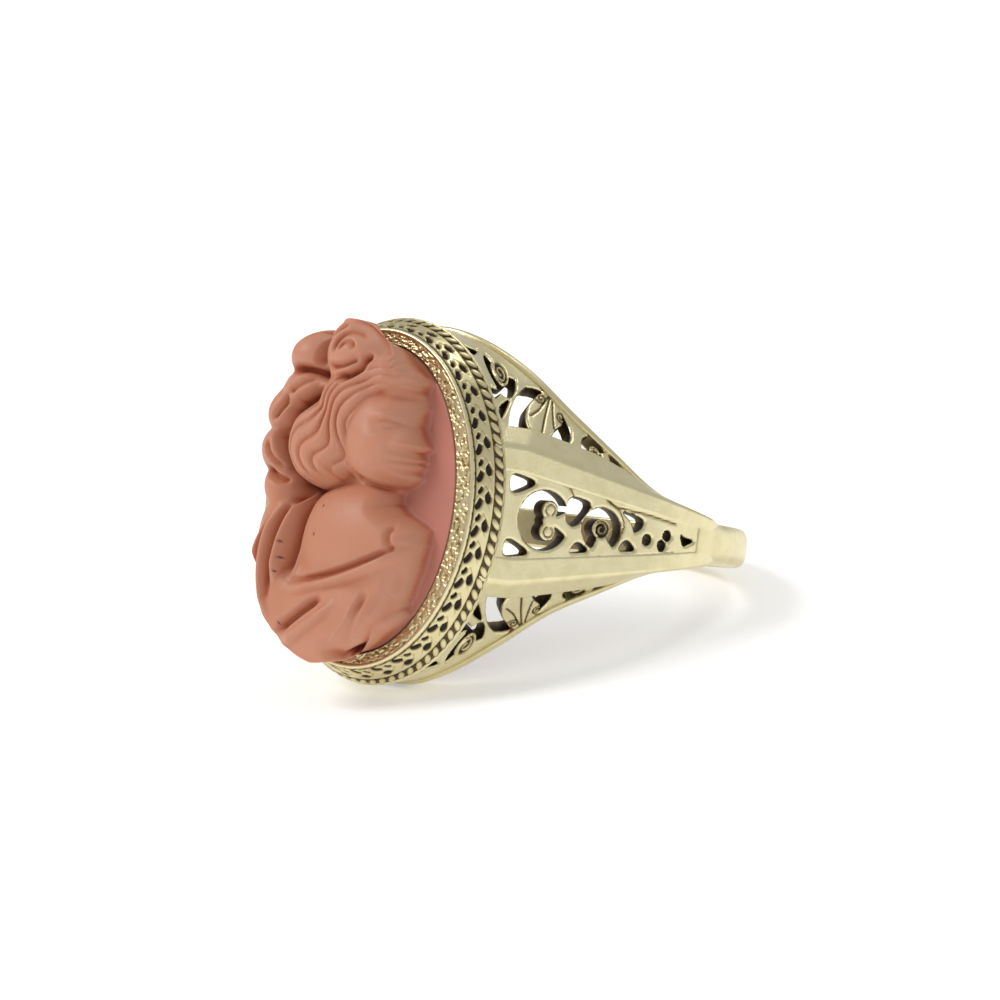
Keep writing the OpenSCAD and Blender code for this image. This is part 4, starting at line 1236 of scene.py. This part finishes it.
def relief(points):
    domes = [dome_height(points, *dome, 0.33) for dome in DOMES] + [dome_height(points, *FACE, 0.42)]
    body = sum(d**14 for d in domes) ** (1 / 14)
    cut = sum(stroke_height(points, *stroke) for stroke in STROKES + FACE_STROKES) + locks(points)
    for x, y, w, l, h in FACE_BUMPS:
        cut = cut + h * np.exp(-0.5 * (((points[..., 0] - x) / w) ** 2 + ((points[..., 1] - y) / l) ** 2))
    t = clamp01(front_depth(points) / FRONT_ROUND)
    return np.maximum(0, np.sqrt(1 - (1 - t) ** 2) * (body + cut * clamp01(2 * body)))


def disc(s, t):
    """A square grid bent to a disc, ring by ring."""
    wide = np.abs(s) >= np.abs(t)
    with np.errstate(divide="ignore", invalid="ignore"):
        a = np.where(wide, np.where(s == 0, 0, t / s), np.where(t == 0, 0, s / t)) * math.pi / 4
    x, y = np.where(wide, s * np.cos(a), t * np.sin(a)), np.where(wide, s * np.sin(a), t * np.cos(a))
    return np.stack([x, y], -1)


def blurred(z, times):
    for _ in range(times):
        p = np.pad(z, 1, mode="edge")
        z = (p[:-2, 1:-1] + p[2:, 1:-1] + p[1:-1, :-2] + p[1:-1, 2:] + 2 * p[1:-1, 1:-1]) / 6
    return z


def coral_material():
    material, tree, shader = new_material("coral")
    cloud = arithmetic(tree, "MULTIPLY", noise(tree, 0.35, 4), 0.3)
    # Painted shade: the ramp darkens the coral in its hollows, broken by a faint cloud of tone
    hollow_shade_and_tone = arithmetic(tree, "ADD", attribute(tree, "hollow"), arithmetic(tree, "SUBTRACT", cloud, 0.1))
    surface = colour_ramp(tree, hollow_shade_and_tone, CORAL_TOPS_TO_SHADE)
    for name, other in (("bare", colour_ramp(tree, cloud, CORAL_GROUND)), ("pin", CORAL_PIN)):
        # Sockets 6 and 7 are the mix's two colours
        feeds = {"Factor": attribute(tree, name), 6: surface, 7: other}
        surface = add_node(tree, "ShaderNodeMix", feeds, data_type="RGBA").outputs[2]
    link(tree, surface, shader.inputs["Base Color"])
    shader.inputs["Roughness"].default_value = 0.45
    shader.inputs["Specular IOR Level"].default_value = 0.35
    shader.inputs["Subsurface Weight"].default_value = 0.2
    shader.inputs["Subsurface Radius"].default_value = (1.0, 0.35, 0.2)
    shader.inputs["Subsurface Scale"].default_value = 0.0006
    add_grain(tree, shader, 5, 0.1)
    return material


def cameo():
    n = STONE_STEPS
    side = np.arange(-n, n + 1)
    i, j = np.meshgrid(side, side, indexing="ij")
    at = disc(i / n, j / n)
    ring = n - np.maximum(np.abs(i), np.abs(j))
    out = 1 - ring / n
    turns = np.degrees(np.arctan2(at[..., 1], at[..., 0])) % 360
    past = clamp01((1 - out) / (1 - WIDEST))
    swing = np.where(out > WIDEST, np.sin(past * math.pi / 2), (np.minimum(out, WIDEST) / WIDEST) ** 3)
    reach = np.interp(turns, *REACH.T) * swing
    flat = at * RIM_OVAL
    place = flat * (1 + reach[..., None]) * np.minimum(1, WIDEST / np.maximum(out, 1e-6))[..., None]
    high = relief(place)
    pin = np.zeros(out.shape)
    for hole in PIN_HOLES:
        pin = np.maximum(pin, np.exp(-((np.linalg.norm(place - hole, axis=-1) / 0.055) ** 2)))
    high = np.maximum(0, blurred(high, 3) - 0.07 * pin)
    high[ring == 0] = 0
    h = high * np.where(out > WIDEST, 1 - (1 - past) ** 2.2, 1)
    p = flat * (1 + reach * clamp01(high / 1.2))[..., None]
    z = RIM_Z + GROUND_SWELL * (1 - out**2) + h
    # Painted shade: the coral darkens where it lies below the heights around it, in the hollows and at the
    # foot of the relief
    wide_hollow = clamp01(1.3 * (blurred(h, 70) - h))
    hollow = clamp01(0.08 + wide_hollow + 4 * (blurred(h, 10) - h))
    bare = (1 - ease(h / 0.5)) * (1 - 0.55 * clamp01(1.2 * blurred(h, 25) - 0.35))
    w = 2 * n + 1
    faces = grid_faces(w, w)[:, ::-1]
    k = np.arange(w - 1)
    rim_at = np.concatenate([k + (w - 1) * w, w * w - 1 - k * w, w - 1 - k, k * w])
    m = len(rim_at)
    base = np.concatenate([at.reshape(-1, 2)[rim_at] * GIRDLE_OVAL, np.full((m, 1), SEAT_Z + 0.05)], 1)
    k = np.arange(m)
    sides = np.stack([rim_at, rim_at[(k + 1) % m], w * w + (k + 1) % m, w * w + k], 1)
    points = np.concatenate([np.concatenate([p, z[..., None]], -1).reshape(-1, 3), base])
    piece = new_piece(
        "cameo_stone", points, list(np.concatenate([faces, sides])) + [w * w + k], coral_material(),
        hollow=np.append(hollow, np.zeros(m)), bare=np.append(bare, np.ones(m)),
        pin=np.append(pin, np.zeros(m)),
    )
    tidy_normals(piece)
    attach(piece, "root")
    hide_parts("cameo")


cameo()


# Table and light
# A plain pale table that glows a little, a large soft lamp from the upper left, a weak fill from
# the right and a small strip over the ring that gives the gold its bright lines.
TABLE_SIZE = 3.0
TABLE_GLOW = 0.33
WORLD_LIGHT = 0.53

corners = [(x * TABLE_SIZE, y * TABLE_SIZE, 0) for x, y in ((-1, -1), (1, -1), (1, 1), (-1, 1))]
table_mesh = bpy.data.meshes.new("table")
table_mesh.from_pydata(corners, [], [(0, 1, 2, 3)])
table = bpy.data.objects.new("table", table_mesh)
bpy.context.scene.collection.objects.link(table)
table_material, _, table_shader = new_material("pale_table")
table_shader.inputs["Base Color"].default_value = (0.9, 0.9, 0.9, 1)
table_shader.inputs["Roughness"].default_value = 0.9
table_shader.inputs["Emission Color"].default_value = (1, 1, 1, 1)
table_shader.inputs["Emission Strength"].default_value = TABLE_GLOW
table_mesh.materials.append(table_material)

world = bpy.data.worlds.new("studio")
world.use_nodes = True
world_light = world.node_tree.nodes["Background"]
world_light.inputs["Color"].default_value = (1, 1, 1, 1)
world_light.inputs["Strength"].default_value = WORLD_LIGHT
bpy.context.scene.world = world
bpy.context.scene.view_settings.view_transform = "Standard"


def lamp(name, offset, size, power):
    """A square soft lamp at an upright offset from the ring's middle, facing it."""
    light = bpy.data.lights.new(name, "AREA")
    light.size = size
    light.energy = power
    holder = bpy.data.objects.new(name, light)
    place = Vector(offset)
    facing = place.to_track_quat("Z", "Y").to_matrix().to_4x4()
    holder.matrix_world = Matrix.Translation(place) @ facing
    bpy.context.scene.collection.objects.link(holder)


lamp("key", (-0.22, -0.25, 0.42), 0.2, 1.2)
lamp("fill", (0.45, -0.2, 0.2), 0.3, 0.05)
lamp("strip", (0.05, 0.25, 0.35), 0.12, 0.2)
